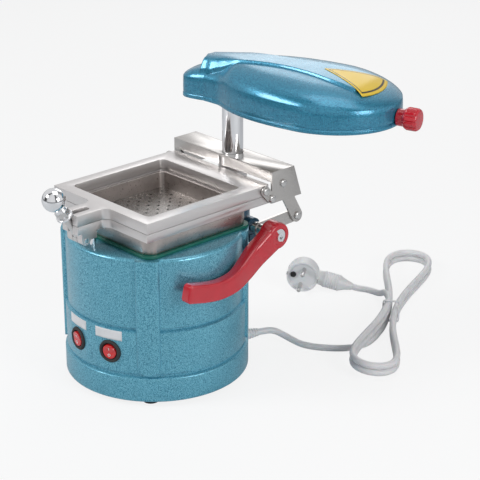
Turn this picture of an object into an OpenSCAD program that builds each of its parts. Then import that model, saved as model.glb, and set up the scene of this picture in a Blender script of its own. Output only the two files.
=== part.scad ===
// Dental vacuum former: a round motor housing with a vacuum tray on its deck, a chrome post with a
// sliding clamping frame and a lift linkage, and a domed heater hood that swings round the post.
// Millimetres, +Z up. The origin is on the standing surface, on the housing's axis.
// The operator stands at -Y, where the switches and the frame's clamp are. +X is the lever's side.

/* [Housing] */
// Diameter of the foot ring at the bottom of the housing
base_d = 190; // [170:1:230]
// How far the lower drum stands back from the foot ring, on the radius
drum_setback = 2; // [1:0.5:6]
// Height of the deck above the standing surface
deck_z = 157; // [130:1:200]
// Height of the rubber feet
foot_h = 5; // [3:0.5:12]
// Height of the foot ring
ring_h = 26; // [16:1:40]
// Height of the waist groove above the standing surface
waist_z = 82; // [78:1:100]
// Wall of the housing casting
housing_wall = 5; // [3:0.5:8]
// Width of the four corner ribs
rib_w = 24; // [14:1:36]
// How far each rib stands out of the drum
rib_out = 3.5; // [1.5:0.5:6]

/* [Vacuum tray] */
// Inside width of the square clamping opening
opening_w = 120; // [100:1:130]
// How far the tray and the frames sit behind the housing axis
tray_y = 3; // [0:0.5:8]
// Thickness of the green seal under the tray
gasket_t = 3; // [2:0.5:5]
// Height of the tray casting below the frames
tray_h = 18; // [12:1:30]
// Pitch of the holes in the perforated plate
hole_pitch = 7.5; // [6:0.5:12]
// Diameter of the holes in the perforated plate
hole_d = 2.8; // [1.5:0.1:4]

/* [Clamping frames] */
// Outside width of the two frames
frame_w = 146; // [140:1:170]
// Thickness of the upper frame
upper_t = 10.8; // [8:0.2:16]
// Thickness of the lower frame
lower_t = 8.6; // [6:0.2:14]
// Width of the tongue at the front of the frames
tongue_w = 24; // [20:1:34]
// How far the tongue stands out in front
tongue_l = 36; // [28:1:50]
// Diameter of the swing bolt
bolt_d = 7; // [5:0.5:9]
// Diameter of the ball on the clamp
ball_d = 23.5; // [16:0.5:32]
// How far the open swing bolt leans forward
bolt_lean = 31; // [0:1:45]
// How far the frames are lifted to the heater
lift = 29; // [20:1:36]

/* [Post and carrier] */
// Diameter of the chrome post
post_d = 22; // [16:1:28]
// Distance of the post behind the housing axis
post_y = 107.5; // [104:0.5:125]
// Thickness of the carrier's sheet metal
sheet_t = 2; // [1.5:0.5:3]
// Depth of the carrier bracket from front to back at its top
bracket_depth = 31; // [28:1:44]
// Height of the carrier bracket above the upper frame
bracket_rise = 13; // [10:1:20]

/* [Lift lever] */
// Distance of the lever shaft behind the housing axis
shaft_y = 80; // [79:0.5:84]
// Height of the lever shaft
shaft_z = 152; // [148:1:156]
// Diameter of the lever shaft
shaft_d = 12; // [8:0.5:14]
// Length of each crank from the shaft to its rivet
crank_r = 51; // [40:1:60]
// Width of the crank and link bars
bar_w = 14; // [10:1:18]
// Thickness of the lever handle
lever_t = 16; // [10:1:22]

/* [Heater hood] */
// Height of the hood's rim above the standing surface
hood_z = 269; // [262:1:300]
// Half width of the round end of the hood
hood_r = 65; // [62:1:80]
// Height of the hood at its highest
hood_h = 45.5; // [42:0.5:60]
// Half width of the hood at the post
tail_w = 28.6; // [27:0.2:34]
// Direction in which the hood points at rest, from the lever's side towards the back
hood_turn = 18; // [-90:1:90]
// Radius of the round heater
heater_r = 54; // [44:1:56]

/* [Switches and mains lead] */
// Radius of the switch bezels
bezel_r = 12; // [9:0.5:15]
// Height of the switches above the standing surface
switch_z = 56; // [50:1:60]
// Diameter of the mains lead
cord_d = 7; // [5:0.5:8]

/* [Hidden] */

fine = 64;
run_fit = 0.05;
clear = 0.3;
near = 0.02;
far = 400;

base_r = base_d / 2;
drum_r = base_r - drum_setback;
upper_r = drum_r - 2;
groove = 1.8;
ring_top = foot_h + ring_h;
plate_t = 3;
deck_t = 7;
deck_edge = 4;
rib_angles = [45, 135, 225, 315];
step_y = shaft_y - shaft_d / 2 - 0.8;
step_z = shaft_z - shaft_d / 2 - 10;
port_r = 20;
foot_ring = base_r - 15;

gasket_w = opening_w + 18;
tray_w = opening_w + 12;
collar_w = opening_w - 2.4;
cavity_w = collar_w - 6;
corner_r = 12;
tray_z = deck_z + gasket_t;
tray_top = tray_z + tray_h;
plate_z = tray_z + 8;
perforated_t = 1.5;

lower_z = tray_top + clear;
seam_z = lower_z + lower_t;
upper_z = seam_z + 0.4;
frame_top = upper_z + upper_t;
rail = (frame_w - opening_w) / 2;
frame_front = tray_y - opening_w / 2 - rail;
tongue_front = frame_front - tongue_l;
hinge_z = upper_z + upper_t / 2;
bracket_y = post_y - bracket_depth / 2;
hinge_y = bracket_y - 8.5;
rivet_y = bracket_y + 0.5;
rivet_z = lower_z + lower_t / 2;
pin_r = 2.5;
flange_in = frame_w / 2 + 0.4;
bracket_top = frame_top + bracket_rise;
bushing_r = post_d / 2 + 4;
slot_w = bolt_d + 1;
bolt_y = tongue_front + 10;
bolt_z = lower_z - 8;
bolt_grip = norm([bolt_y - tongue_front, frame_top - bolt_z]) + clear;
bolt_len = bolt_grip + 22;
ball_up = bolt_len + 1.8;

link_y = post_y;
link_z = frame_top - 2;
crank_tilt = 2.2;
crank_y = shaft_y + crank_r * cos(crank_tilt);
crank_z = shaft_z + crank_r * sin(crank_tilt);
link_l = norm([link_y - crank_y, link_z - crank_z]);
bar_t = 2.4;
link_in = flange_in - clear - bar_t;
crank_in = link_in - clear - bar_t;
boss_r = post_d / 2 + 7;
lever_in = flange_in + sheet_t + 8;
lever_boss = shaft_d / 2 + 3;
lug_x = 56;

hood_l = post_y - tray_y;
hood_c = hood_l + 6;
hood_front = hood_r + 10;
hood_tail = 53;
hood_wall = 3;
pan_t = 2;
pan_z = 3;
hub_r = post_d / 2 + 5;
hub_top = low_dome(side_spoke(-hub_r), 0.6) - hood_wall - 1 - clear;
post_top = hood_z + hub_top - 3;
knob_u = hood_c + hood_front;

gland_turn = 70;
gland_z = 16;
gland_l = 20;
gland_r = 5.5;
tie_t = 1.2;

// Rounded square outline, made of squares and circles so that its walls stay true
module rounded(w, d, r) {
    square([w - 2 * r, d], center = true);
    square([w, d - 2 * r], center = true);
    for (x = [-1, 1], y = [-1, 1])
        translate([x * (w / 2 - r), y * (d / 2 - r)]) circle(r, $fn = fine);
}

module rounded_box(w, d, h, r) {
    linear_extrude(h) rounded(w, d, r);
}

// A cylinder that lies along X
module along_x(r, x0, x1, y, z) {
    translate([x0, y, z]) rotate([0, 90, 0]) cylinder(r = r, h = x1 - x0, $fn = fine);
}

// Places its children on the drum wall, with their +Z pointing out of the wall
module on_wall(turn, r, z) {
    rotate([0, 0, turn]) translate([r, 0, z]) rotate([0, 90, 0]) rotate([0, 0, 90]) children();
}

module mirrored_x() {
    children();
    mirror([1, 0, 0]) children();
}

function arc(cx, cy, r, a0, a1, n) =
    [for (i = [0 : n]) [cx + r * cos(a0 + (a1 - a0) * i / n), cy + r * sin(a0 + (a1 - a0) * i / n)]];

// Housing

drum_profile = concat(
    [[0, foot_h]],
    arc(base_r - 2, foot_h + 2, 2, -90, 0, 4),
    arc(base_r - 1.5, ring_top - 1.5, 1.5, 0, 90, 3),
    [[drum_r - groove, ring_top + 0.6], [drum_r - groove, ring_top + 3], [drum_r, ring_top + 4.4]],
    [[drum_r, waist_z - 2.2], [upper_r - groove, waist_z - 0.8], [upper_r - groove, waist_z + 0.8],
        [upper_r, waist_z + 2]],
    arc(upper_r - deck_edge, deck_z - deck_edge, deck_edge, 0, 90, 6),
    [[0, deck_z]]);

module rib() {
    low = ring_top + 3 + rib_w / 2;
    out = drum_r + rib_out - 1.5;
    intersection() {
        translate([0, 0, foot_h]) linear_extrude(deck_z - foot_h - 0.6) {
            translate([out - 20, -rib_w / 2]) square([16, rib_w]);
            translate([out - 20, -rib_w / 2 + 4]) square([20, rib_w - 8]);
            for (s = [-1, 1]) translate([out - 4, s * (rib_w / 2 - 4)]) circle(4, $fn = fine);
        }
        translate([out - 30, 0, 0]) rotate([90, 0, 90]) linear_extrude(60) {
            translate([-rib_w / 2, low]) square([rib_w, deck_z - low]);
            translate([0, low]) circle(rib_w / 2, $fn = fine);
        }
    }
}

module body_shell() {
    color([0.26, 0.58, 0.68]) difference() {
        union() {
            rotate_extrude($fn = 128) polygon(drum_profile);
            for (a = rib_angles) rotate([0, 0, a]) rib();
        }
        translate([0, 0, foot_h - 1]) cylinder(r = upper_r - 2.7, h = 1 + plate_t, $fn = 128);
        difference() {
            translate([0, 0, foot_h])
                cylinder(r = upper_r - housing_wall, h = deck_z - deck_t - foot_h, $fn = 128);
            translate([-far / 2, step_y - housing_wall, step_z - housing_wall]) cube(far);
        }
        translate([-far / 2, step_y, step_z]) cube(far);
        mirrored_x() along_x(lever_boss + 0.5, lug_x - 5.5, lug_x + 5.5, shaft_y, shaft_z);
        translate([0, tray_y, deck_z - deck_t - 1]) cylinder(r = port_r, h = deck_t + 2, $fn = fine);
        for (a = switch_turns) on_wall(a, drum_r - 1, switch_z) {
            cylinder(r = bezel_r + 0.3, h = 10, $fn = fine);
            translate([0, 0, -20]) cylinder(r = bezel_r - 2, h = 30, $fn = fine);
        }
        on_wall(gland_turn, base_r - 20, gland_z) cylinder(r = gland_r + near, h = 40, $fn = fine);
    }
}

module base_plate() {
    color([0.2, 0.2, 0.21]) difference() {
        translate([0, 0, foot_h]) cylinder(r = upper_r - 2.7 - clear, h = plate_t, $fn = 128);
        for (a = [0 : 30 : 330]) rotate([0, 0, a])
            translate([30, -2, foot_h - 1]) cube([30, 4, plate_t + 2]);
    }
}

module rubber_feet() {
    color([0.05, 0.05, 0.05]) for (a = rib_angles) rotate([0, 0, a]) translate([foot_ring, 0, 0])
        cylinder(r1 = 8, r2 = 9, h = foot_h, $fn = fine);
}

module vacuum_motor() {
    top = deck_z - deck_t;
    color([0.55, 0.56, 0.58]) translate([0, tray_y, 0]) difference() {
        union() {
            translate([0, 0, top - 5]) cylinder(r = 50, h = 5, $fn = fine);
            translate([0, 0, top - 34]) cylinder(r = 46, h = 30, $fn = fine);
            translate([0, 0, top - 40]) cylinder(r = 49, h = 7, $fn = fine);
            translate([0, 0, top - 90]) cylinder(r = 34, h = 52, $fn = fine);
            translate([0, 0, top - 98]) cylinder(r = 12, h = 10, $fn = fine);
        }
        translate([0, 0, top - 20]) cylinder(r = port_r, h = 30, $fn = fine);
        for (a = [0 : 45 : 315]) rotate([0, 0, a]) translate([30, -3, top - 80]) cube([10, 6, 24]);
    }
}

// Casting behind the deck that holds the post and the lever shaft
module rear_bracket() {
    slab_t = 8;
    boss_z = step_z - 8;
    color([0.13, 0.38, 0.47]) difference() {
        union() {
            translate([-lug_x - 6, step_y + 0.8, step_z]) cube([2 * lug_x + 12, 22, slab_t]);
            translate([0, post_y, boss_z]) cylinder(r = boss_r, h = shaft_z + 10 - boss_z, $fn = fine);
            translate([-boss_r, upper_r + clear, boss_z])
                cube([2 * boss_r, post_y - upper_r - clear, shaft_z - 2 - boss_z]);
            mirrored_x() translate([lug_x - 5, 0, 0]) {
                along_x(lever_boss, 0, 10, shaft_y, shaft_z);
                translate([0, step_y + 0.8, step_z]) cube([10, 15, shaft_z - step_z]);
            }
        }
        along_x(shaft_d / 2 + run_fit, -far / 2, far / 2, shaft_y, shaft_z);
        translate([0, 0, boss_z - 1]) cylinder(r = upper_r + clear, h = step_z - boss_z + 1, $fn = 128);
        translate([0, post_y, boss_z + 4]) cylinder(r = post_d / 2 + near, h = far, $fn = fine);
    }
}

module post() {
    bottom = step_z - 4;
    color([0.82, 0.83, 0.85]) translate([0, post_y, 0]) difference() {
        translate([0, 0, bottom]) cylinder(r = post_d / 2, h = post_top - bottom, $fn = fine);
        translate([0, 0, bottom - 1]) cylinder(r = post_d / 2 - 3, h = post_top - bottom - 3, $fn = fine);
    }
}

// Tray

module gasket() {
    color([0.0, 0.42, 0.36]) translate([0, tray_y, deck_z]) difference() {
        rounded_box(gasket_w, gasket_w, gasket_t, corner_r);
        translate([0, 0, -1]) cylinder(r = port_r, h = gasket_t + 2, $fn = fine);
    }
}

module vacuum_tray() {
    color([0.72, 0.70, 0.69]) translate([0, tray_y, tray_z]) difference() {
        union() {
            rounded_box(tray_w, tray_w, tray_h, corner_r);
            rounded_box(collar_w, collar_w, tray_h + lower_t, 8);
        }
        translate([0, 0, 8]) rounded_box(cavity_w, cavity_w, far, 5.5);
        translate([0, 0, 3]) rounded_box(cavity_w - 5, cavity_w - 5, far, 4);
        translate([0, 0, -1]) cylinder(r = port_r, h = 10, $fn = fine);
    }
}

module perforated_plate() {
    rows = floor((cavity_w - 16) / hole_pitch / 2);
    w = cavity_w - 2 * clear;
    color([0.62, 0.61, 0.60]) translate([0, tray_y, plate_z]) linear_extrude(perforated_t)
        difference() {
            rounded(w, w, 5);
            for (i = [-rows : rows], j = [-rows : rows]) if ((i + j) % 2 == 0)
                translate([i * hole_pitch, j * hole_pitch]) circle(hole_d / 2, $fn = 16);
        }
}

// Chrome pin on the deck that the tongue of the lowered frame stands over
module stop_pin() {
    color([0.85, 0.85, 0.86]) translate([0, tongue_front + 26.5, deck_z])
        cylinder(r = 3.2, h = lower_z - deck_z - clear, $fn = fine);
}

// Switches

switch_turns = [-98, -70];
stub_r = 1.2;
stub_x = bezel_r - 2.9;

module bezel(turn) {
    color([0.04, 0.04, 0.045]) on_wall(turn, drum_r - 1, switch_z) difference() {
        union() {
            cylinder(r = bezel_r, h = 3, $fn = fine);
            translate([0, 0, -16]) cylinder(r = bezel_r - 2 - clear, h = 17, $fn = fine);
        }
        translate([0, 0, -9]) cylinder(r = bezel_r - 3.6, h = 20, $fn = fine);
        along_x(stub_r + run_fit, -stub_x - clear, stub_x + clear, 0, 0);
    }
}

module bezel_vacuum() {
    bezel(switch_turns[0]);
}

module bezel_heat() {
    bezel(switch_turns[1]);
}

// Round rocker with its lower half pressed in
module rocker(turn) {
    r = bezel_r - 3.6 - clear - 0.5;
    color([0.85, 0.1, 0.1]) on_wall(turn, drum_r - 1, switch_z) rotate([6, 0, 0]) {
        intersection() {
            translate([0, 0, -5]) cylinder(r = r, h = 12, $fn = fine);
            rotate([90, 0, 90]) linear_extrude(2 * r, center = true)
                polygon([[-r, -4], [r, -4], [r, 3.6], [0, 2.4], [-r, 3.6]]);
        }
        along_x(stub_r, -stub_x, stub_x, 0, 0);
    }
}

module rocker_vacuum() {
    rocker(switch_turns[0]);
}

module rocker_heat() {
    rocker(switch_turns[1]);
}

// Carrier and frames

module flange_outline() {
    z0 = rivet_z - 5;
    polygon([[bracket_y, z0], [bracket_y + bracket_depth + 11, z0],
        [bracket_y + bracket_depth, bracket_top], [bracket_y, bracket_top]]);
    translate([hinge_y, hinge_z]) circle(5.4, $fn = fine);
    translate([rivet_y, rivet_z]) circle(5, $fn = fine);
    polygon([[hinge_y - 3.8, hinge_z - 3.8], [hinge_y + 3.8, hinge_z + 3.8],
        [rivet_y + 3.5, rivet_z + 3.5], [rivet_y - 3.6, rivet_z - 3.6]]);
}

module carrier_bracket() {
    color([0.78, 0.77, 0.76]) difference() {
        union() {
            mirrored_x() translate([flange_in, 0, 0]) rotate([90, 0, 90])
                linear_extrude(sheet_t) flange_outline();
            translate([-flange_in - near, bracket_y, bracket_top - sheet_t])
                cube([2 * (flange_in + near), bracket_depth, sheet_t]);
            translate([-flange_in - near, bracket_y, frame_top + 2])
                cube([2 * (flange_in + near), sheet_t, bracket_rise - 2]);
        }
        translate([0, post_y, 0]) cylinder(r = post_d / 2 + 0.5, h = far, $fn = fine);
        translate([0, post_y, 0]) cylinder(r = bushing_r + 1, h = bracket_top - sheet_t, $fn = fine);
        mirrored_x() {
            along_x(pin_r + near, flange_in - 1, flange_in + sheet_t + 1, hinge_y, hinge_z);
            along_x(pin_r + near, flange_in - 1, flange_in + sheet_t + 1, rivet_y, rivet_z);
        }
    }
}

module carrier_bushing() {
    h = 24;
    color([0.6, 0.6, 0.6]) translate([0, post_y, bracket_top - sheet_t - h]) difference() {
        cylinder(r = bushing_r, h = h, $fn = fine);
        translate([0, 0, -1]) cylinder(r = post_d / 2 + run_fit, h = h + 2, $fn = fine);
    }
}

// Plan of a frame with its square opening, its tongue and the slot for the swing bolt
module frame_plan(back) {
    fillet = 8;
    difference() {
        union() {
            translate([-frame_w / 2, frame_front]) square([frame_w, back - frame_front]);
            translate([-tongue_w / 2, tongue_front]) square([tongue_w, tongue_l + 1]);
            difference() {
                translate([-tongue_w / 2 - fillet, frame_front - fillet])
                    square([tongue_w + 2 * fillet, fillet + 1]);
                for (s = [-1, 1]) translate([s * (tongue_w / 2 + fillet), frame_front - fillet])
                    circle(fillet, $fn = fine);
            }
        }
        translate([0, tray_y]) rounded(opening_w, opening_w, 6);
        translate([-slot_w / 2, tongue_front - 1]) square([slot_w, 20]);
        translate([0, tongue_front + 19]) circle(slot_w / 2, $fn = fine);
    }
}

module lower_frame() {
    lug_z = bolt_z - 5;
    color([0.74, 0.73, 0.72]) difference() {
        union() {
            translate([0, 0, lower_z]) linear_extrude(lower_t) frame_plan(rivet_y + 4.4);
            for (s = [-1, 1]) translate([s * (tongue_w / 2 + slot_w / 2) / 2, 0, 0]) {
                w = tongue_w / 2 - slot_w / 2;
                along_x(5, -w / 2, w / 2, bolt_y, bolt_z);
                translate([-w / 2, bolt_y - 5, bolt_z]) cube([w, 18, lower_z - bolt_z + 1]);
            }
        }
        translate([-flange_in + 10, hinge_y - 4, lug_z])
            cube([2 * (flange_in - 10), 30, frame_top]);
        along_x(pin_r + near, -tongue_w, tongue_w, bolt_y, bolt_z);
        mirrored_x() along_x(pin_r + near, flange_in - 8, flange_in + 1, rivet_y, rivet_z);
    }
}

module pin_with_head(y, z) {
    x = flange_in + sheet_t;
    mirrored_x() {
        along_x(pin_r, flange_in - 7, x + 0.5, y, z);
        along_x(pin_r + 1.6, x, x + 1.5, y, z);
    }
}

module frame_rivets() {
    color([0.85, 0.85, 0.84]) {
        pin_with_head(rivet_y, rivet_z);
        mirrored_x() along_x(pin_r + 1.8, flange_in + sheet_t, flange_in + sheet_t + 1.5, link_y, link_z);
    }
}

module hinge_pins() {
    color([0.85, 0.85, 0.84]) pin_with_head(hinge_y, hinge_z);
}

module clamp_pin() {
    color([0.8, 0.8, 0.8]) along_x(pin_r, -tongue_w / 2 - 0.5, tongue_w / 2 + 0.5, bolt_y, bolt_z);
}

module upper_frame() {
    color([0.8, 0.79, 0.78]) difference() {
        union() {
            intersection() {
                translate([0, 0, upper_z]) linear_extrude(upper_t) frame_plan(hinge_y);
                translate([-far / 2, -far, 0]) cube(far + hinge_y);
            }
            along_x(upper_t / 2, -frame_w / 2, frame_w / 2, hinge_y, hinge_z);
        }
        mirrored_x() along_x(pin_r + run_fit, flange_in - 8, flange_in + 1, hinge_y, hinge_z);
    }
}

// Places its children at the swing bolt's pivot, with +Z along the bolt as it leans at rest
module at_bolt() {
    translate([0, bolt_y, bolt_z]) rotate([bolt_lean, 0, 0]) children();
}

module swing_bolt() {
    eye_w = slot_w - 2 * clear;
    color([0.8, 0.8, 0.8]) at_bolt() difference() {
        union() {
            along_x(5, -eye_w / 2, eye_w / 2, 0, 0);
            cylinder(r = bolt_d / 2, h = bolt_len, $fn = fine);
        }
        along_x(pin_r + run_fit, -10, 10, 0, 0);
    }
}

module ball_knob() {
    r = ball_d / 2;
    color([0.86, 0.86, 0.88]) at_bolt() difference() {
        union() {
            translate([0, 0, bolt_grip]) cylinder(r = 8.5, h = 2.5, $fn = fine);
            translate([0, 0, bolt_grip + 2.5]) cylinder(r = 7, h = 7, $fn = 6);
            translate([0, 0, bolt_grip + 9.5]) cylinder(r = 5.5, h = 10, $fn = fine);
            translate([0, 0, ball_up]) sphere(r, $fn = fine);
        }
        cylinder(r = bolt_d / 2 + run_fit, h = bolt_len + run_fit, $fn = fine);
    }
}

// Lever, cranks and links

module lever_shaft() {
    color([0.75, 0.75, 0.76])
        along_x(shaft_d / 2, -crank_in - bar_t, lever_in + 1, shaft_y, shaft_z);
}

module soft_disc(x, y, z, r, t) {
    translate([x, y, z]) rotate([0, 90, 0]) rotate_extrude($fn = 32)
        polygon([[0, 0], [r - 3, 0], [r - 0.9, 0.9], [r, 3], [r, t - 3], [r - 0.9, t - 0.9],
            [r - 3, t], [0, t]]);
}

// Points on the lever from its boss to its end: offset, radius, inner face and thickness
arm_in = drum_r + 1.2;
arm_t = lever_t - 3.5;
lever_arm = [[0, 0, 14, lever_in, lever_t], [-28, -15.6, 11, lever_in, lever_t],
    [-63.8, -29.4, 9, arm_in, arm_t], [-82.8, -32, 8.6, arm_in, arm_t],
    [-120.8, -25, 8.2, arm_in, arm_t]];

module lever_handle() {
    color([0.78, 0.07, 0.13]) difference() {
        for (i = [0 : len(lever_arm) - 2]) hull() for (p = [lever_arm[i], lever_arm[i + 1]])
            soft_disc(p[3], shaft_y + p[0], shaft_z + p[1], p[2], p[4]);
        along_x(8, lever_in + lever_t - 1.2, lever_in + lever_t + 5, shaft_y, shaft_z);
        along_x(shaft_d / 2 + near, lever_in - 1, lever_in + 1 + near, shaft_y, shaft_z);
    }
}

module lever_screw() {
    x = lever_in + lever_t - 1.2;
    color([0.88, 0.88, 0.9]) difference() {
        union() {
            along_x(7.8, x, x + 1, shaft_y, shaft_z);
            along_x(4.6, x + 0.9, x + 3.4, shaft_y, shaft_z);
        }
        translate([x + 1.6, shaft_y, shaft_z]) rotate([0, 90, 0]) cylinder(r = 2.6, h = 5, $fn = 6);
    }
}

// Flat bar from one pivot to another, in the plane of the linkage
module flat_bar(x, a, b) {
    d = b - a;
    translate([x, a[0], a[1]]) rotate([atan2(d[1], d[0]), 0, 0]) rotate([90, 0, 90])
        linear_extrude(bar_t) {
            translate([0, -bar_w / 2]) square([norm(d), bar_w]);
            circle(bar_w / 2, $fn = fine);
            translate([norm(d), 0]) circle(bar_w / 2, $fn = fine);
        }
}

module crank_bars() {
    color([0.74, 0.74, 0.73]) mirrored_x() difference() {
        flat_bar(crank_in, [shaft_y, shaft_z], [crank_y, crank_z]);
        along_x(shaft_d / 2 + near, crank_in - 1, link_in, shaft_y, shaft_z);
        along_x(pin_r + near, crank_in - 1, link_in, crank_y, crank_z);
    }
}

module crank_rivets() {
    color([0.85, 0.85, 0.84]) mirrored_x() {
        along_x(pin_r, crank_in - 1, link_in + bar_t + 0.3, crank_y, crank_z);
        along_x(pin_r + 1.8, crank_in - 1.5, crank_in, crank_y, crank_z);
        along_x(pin_r + 1.8, link_in + bar_t + 0.2, link_in + bar_t + 1.7, crank_y, crank_z);
    }
}

module link() {
    difference() {
        flat_bar(link_in, [crank_y, crank_z], [link_y, link_z]);
        along_x(pin_r + run_fit, link_in - 1, link_in + bar_t + 1, crank_y, crank_z);
        along_x(pin_r + 1, link_in - 1, link_in + bar_t + 1, link_y, link_z);
    }
}

module link_left() {
    color([0.76, 0.76, 0.75]) mirror([1, 0, 0]) link();
}

module link_right() {
    color([0.76, 0.76, 0.75]) link();
}

// Hood. Its own frame has the post on the Z axis, its rim at z = 0 and its round end along +X.

module at_hood() {
    translate([0, post_y, hood_z]) rotate([0, 0, hood_turn]) children();
}

front_n = 12;
side_n = 14;
tail_n = 8;
spokes = 2 * (front_n + side_n + tail_n);
tail_u = -22;

// Half width of the hood at a distance u from the post
function half_width(u) =
    let (e = hood_r * sqrt(max(0, 1 - pow((hood_c - u) / (hood_c + 9.5), 2))))
    pow(pow(tail_w + 0.27 * u, 10) + pow(e, 10), 1 / 10);

// Each spoke goes from a point on the hood's middle line to its outline
function spoke(i) = i > spokes / 2 ? mirror_spoke(spoke(spokes - i)) :
    i <= front_n ? front_spoke(90 * i / front_n) :
    i <= front_n + side_n ? side_spoke(tail_u + (hood_c - tail_u) * pow(1 - (i - front_n) / side_n, 1.5)) :
    tail_spoke(90 + 90 * (i - front_n - side_n) / tail_n);
function mirror_spoke(s) = [[s[0][0], -s[0][1]], [s[1][0], -s[1][1]]];
function front_spoke(a) = [[hood_c, 0], [hood_front * cos(a), half_width(hood_c) * sin(a)]];
function side_spoke(u) = [[u, 0], [0, half_width(u)]];
function tail_spoke(a) =
    let (k = pow(pow(abs(cos(a)), 4) + pow(sin(a), 4), -1 / 4), bow = 0.92 + 0.08 * pow(cos(a), 2))
    [[tail_u, 0], [(hood_tail + tail_u) * bow * k * cos(a), half_width(tail_u) * k * sin(a)]];

// Height of the middle line, and how far the shoulder beside the ridge drops towards the tail
function smooth(t) = let (c = max(0, min(1, t))) c * c * (3 - 2 * c);
function hood_top(u) = hood_h - 9 * pow((u - 50) / 110, 2);
function shoulder(u) = smooth((18 - u) / 24);
function ridge_half(u) = 14 + 3.5 * pow(max(0, 60 - u) / 60, 2) + 16 * pow(max(0, u - 60) / 85, 1.6);
ridge_up = 2.6;
ridge_end = 150;
ridge_back = -28;

// Share of a spoke at which the raised ridge ends
function ridge_share(s) =
    let (side = abs(s[1][1]) < 0.01 ? 9 : ridge_half(s[0][0] + s[1][0] * 0.3) / abs(s[1][1]),
        front = s[1][0] > 0.01 ? (ridge_end - s[0][0]) / s[1][0] : 9,
        end = ridge_back - 5 * pow(max(0, 1 - abs(s[1][1]) / 24), 1.5),
        back = s[1][0] < -0.01 ? (end - s[0][0]) / s[1][0] : 9)
    min(side, front, back, 0.8);

function along(s, share) = s[0][0] + s[1][0] * share;
function hood_point(s, share, z) = [along(s, share), s[0][1] + s[1][1] * share, z];
function dome(s, share, drop) =
    19 + (hood_top(along(s, share)) - drop - 19) * pow(1 - pow(share, 3.2), 0.5);
function low_dome(s, share) = dome(s, share, 9 * shoulder(along(s, share)));
function ring(shares_z) = [for (i = [0 : spokes - 1]) hood_point(spoke(i), shares_z[0], shares_z[1])];
function inner_ring(share) = [for (i = [0 : spokes - 1]) let (s = spoke(i))
    hood_point(s, share, low_dome(s, share) - hood_wall - 1)];
function outer_ring(share) = [for (i = [0 : spokes - 1]) let (s = spoke(i))
    hood_point(s, share, low_dome(s, share))];
function ridge_foot(part, extra, lift) = [for (i = [0 : spokes - 1])
    let (s = spoke(i), r = ridge_share(s), share = r + extra + (0.83 - r) * part)
    hood_point(s, share, low_dome(s, share) + lift * (1 + 0.9 * shoulder(along(s, share))))];
function ridge_top(part) = [for (i = [0 : spokes - 1])
    let (s = spoke(i), r = ridge_share(s), share = r * part * (1 - 0.3 * shoulder(along(s, r))))
    hood_point(s, share, dome(s, share, 0) + ridge_up)];

hood_rings = concat(
    [ring([0.965, 0]), ring([1, 0]), ring([1, 4]), ring([0.985, 4.6]), ring([0.985, 5.6]),
        ring([0.995, 6.2]), ring([0.985, 19])],
    [for (share = [0.97, 0.94, 0.9, 0.86, 0.83]) outer_ring(share)],
    [ridge_foot(0.45, 0.01, 0), ridge_foot(0, 0.02, 0), ridge_foot(0, 0, ridge_up)],
    [ridge_top(0.97), ridge_top(0.62)]);
hood_inside = concat(
    [ring([0.965, pan_z + pan_t]), ring([0.93, pan_z + pan_t]), ring([0.93, 16])],
    [for (share = [0.9, 0.82, 0.7, 0.5]) inner_ring(share)]);

// Closes a stack of rings: one strip between each pair and a strip of faces across each end
function strip(a, b, n) = [for (i = [0 : n - 1]) let (j = (i + 1) % n)
    each [[a * n + i, a * n + j, b * n + j], [a * n + i, b * n + j, b * n + i]]];
function cap(k, n) = [for (i = [0 : n / 2 - 1]) let (a = k * n + i, b = k * n + i + 1,
        c = k * n + (n - i - 1) % n, d = k * n + (n - i) % n)
    each [if (i < n / 2 - 1) [a, b, c], if (i > 0) [a, c, d]]];
function flip(faces) = [for (f = faces) [f[2], f[1], f[0]]];

module hood_solid() {
    up = len(hood_rings);
    down = len(hood_inside);
    inner = concat([hood_rings[0]], hood_inside);
    points = concat([for (r = hood_rings) each r], [for (r = hood_inside) each r]);
    faces = concat(
        [for (k = [0 : up - 2]) each flip(strip(k, k + 1, spokes))],
        flip(cap(up - 1, spokes)),
        strip(0, up, spokes),
        [for (k = [up : up + down - 2]) each strip(k, k + 1, spokes)],
        cap(up + down - 1, spokes));
    polyhedron(points, flip(faces), convexity = 8);
}

module hood_shell() {
    color([0.2, 0.5, 0.64]) at_hood() hood_solid();
}

module hood_hub() {
    top = post_top - hood_z;
    color([0.5, 0.51, 0.52]) at_hood() difference() {
        union() {
            cylinder(r = hub_r, h = hub_top, $fn = fine);
            translate([0, 0, pan_z + pan_t + near]) cylinder(r = hub_r + 4, h = 4, $fn = fine);
        }
        translate([0, 0, -1]) cylinder(r = post_d / 2 + run_fit, h = top + 1 + clear, $fn = fine);
    }
}

module heater_pan() {
    outline = [for (i = [0 : spokes - 1]) let (p = hood_point(spoke(i), 0.96, 0)) [p[0], p[1]]];
    color([0.72, 0.73, 0.74]) at_hood() difference() {
        translate([0, 0, pan_z]) linear_extrude(pan_t) polygon(outline);
        cylinder(r = hub_r + 0.1, h = 20, $fn = fine);
        translate([hood_l, 0, 0]) cylinder(r = heater_r, h = 20, $fn = 96);
    }
}

module heater_element() {
    plate_low = pan_z + pan_t;
    color([0.75, 0.72, 0.68]) at_hood() translate([hood_l, 0, plate_low]) {
        cylinder(r = heater_r + 3, h = 5, $fn = 96);
        for (r = [heater_r - 10 : -13 : 10]) rotate_extrude($fn = 96)
            translate([r, -1.4]) circle(2.6, $fn = 24);
    }
}

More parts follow.
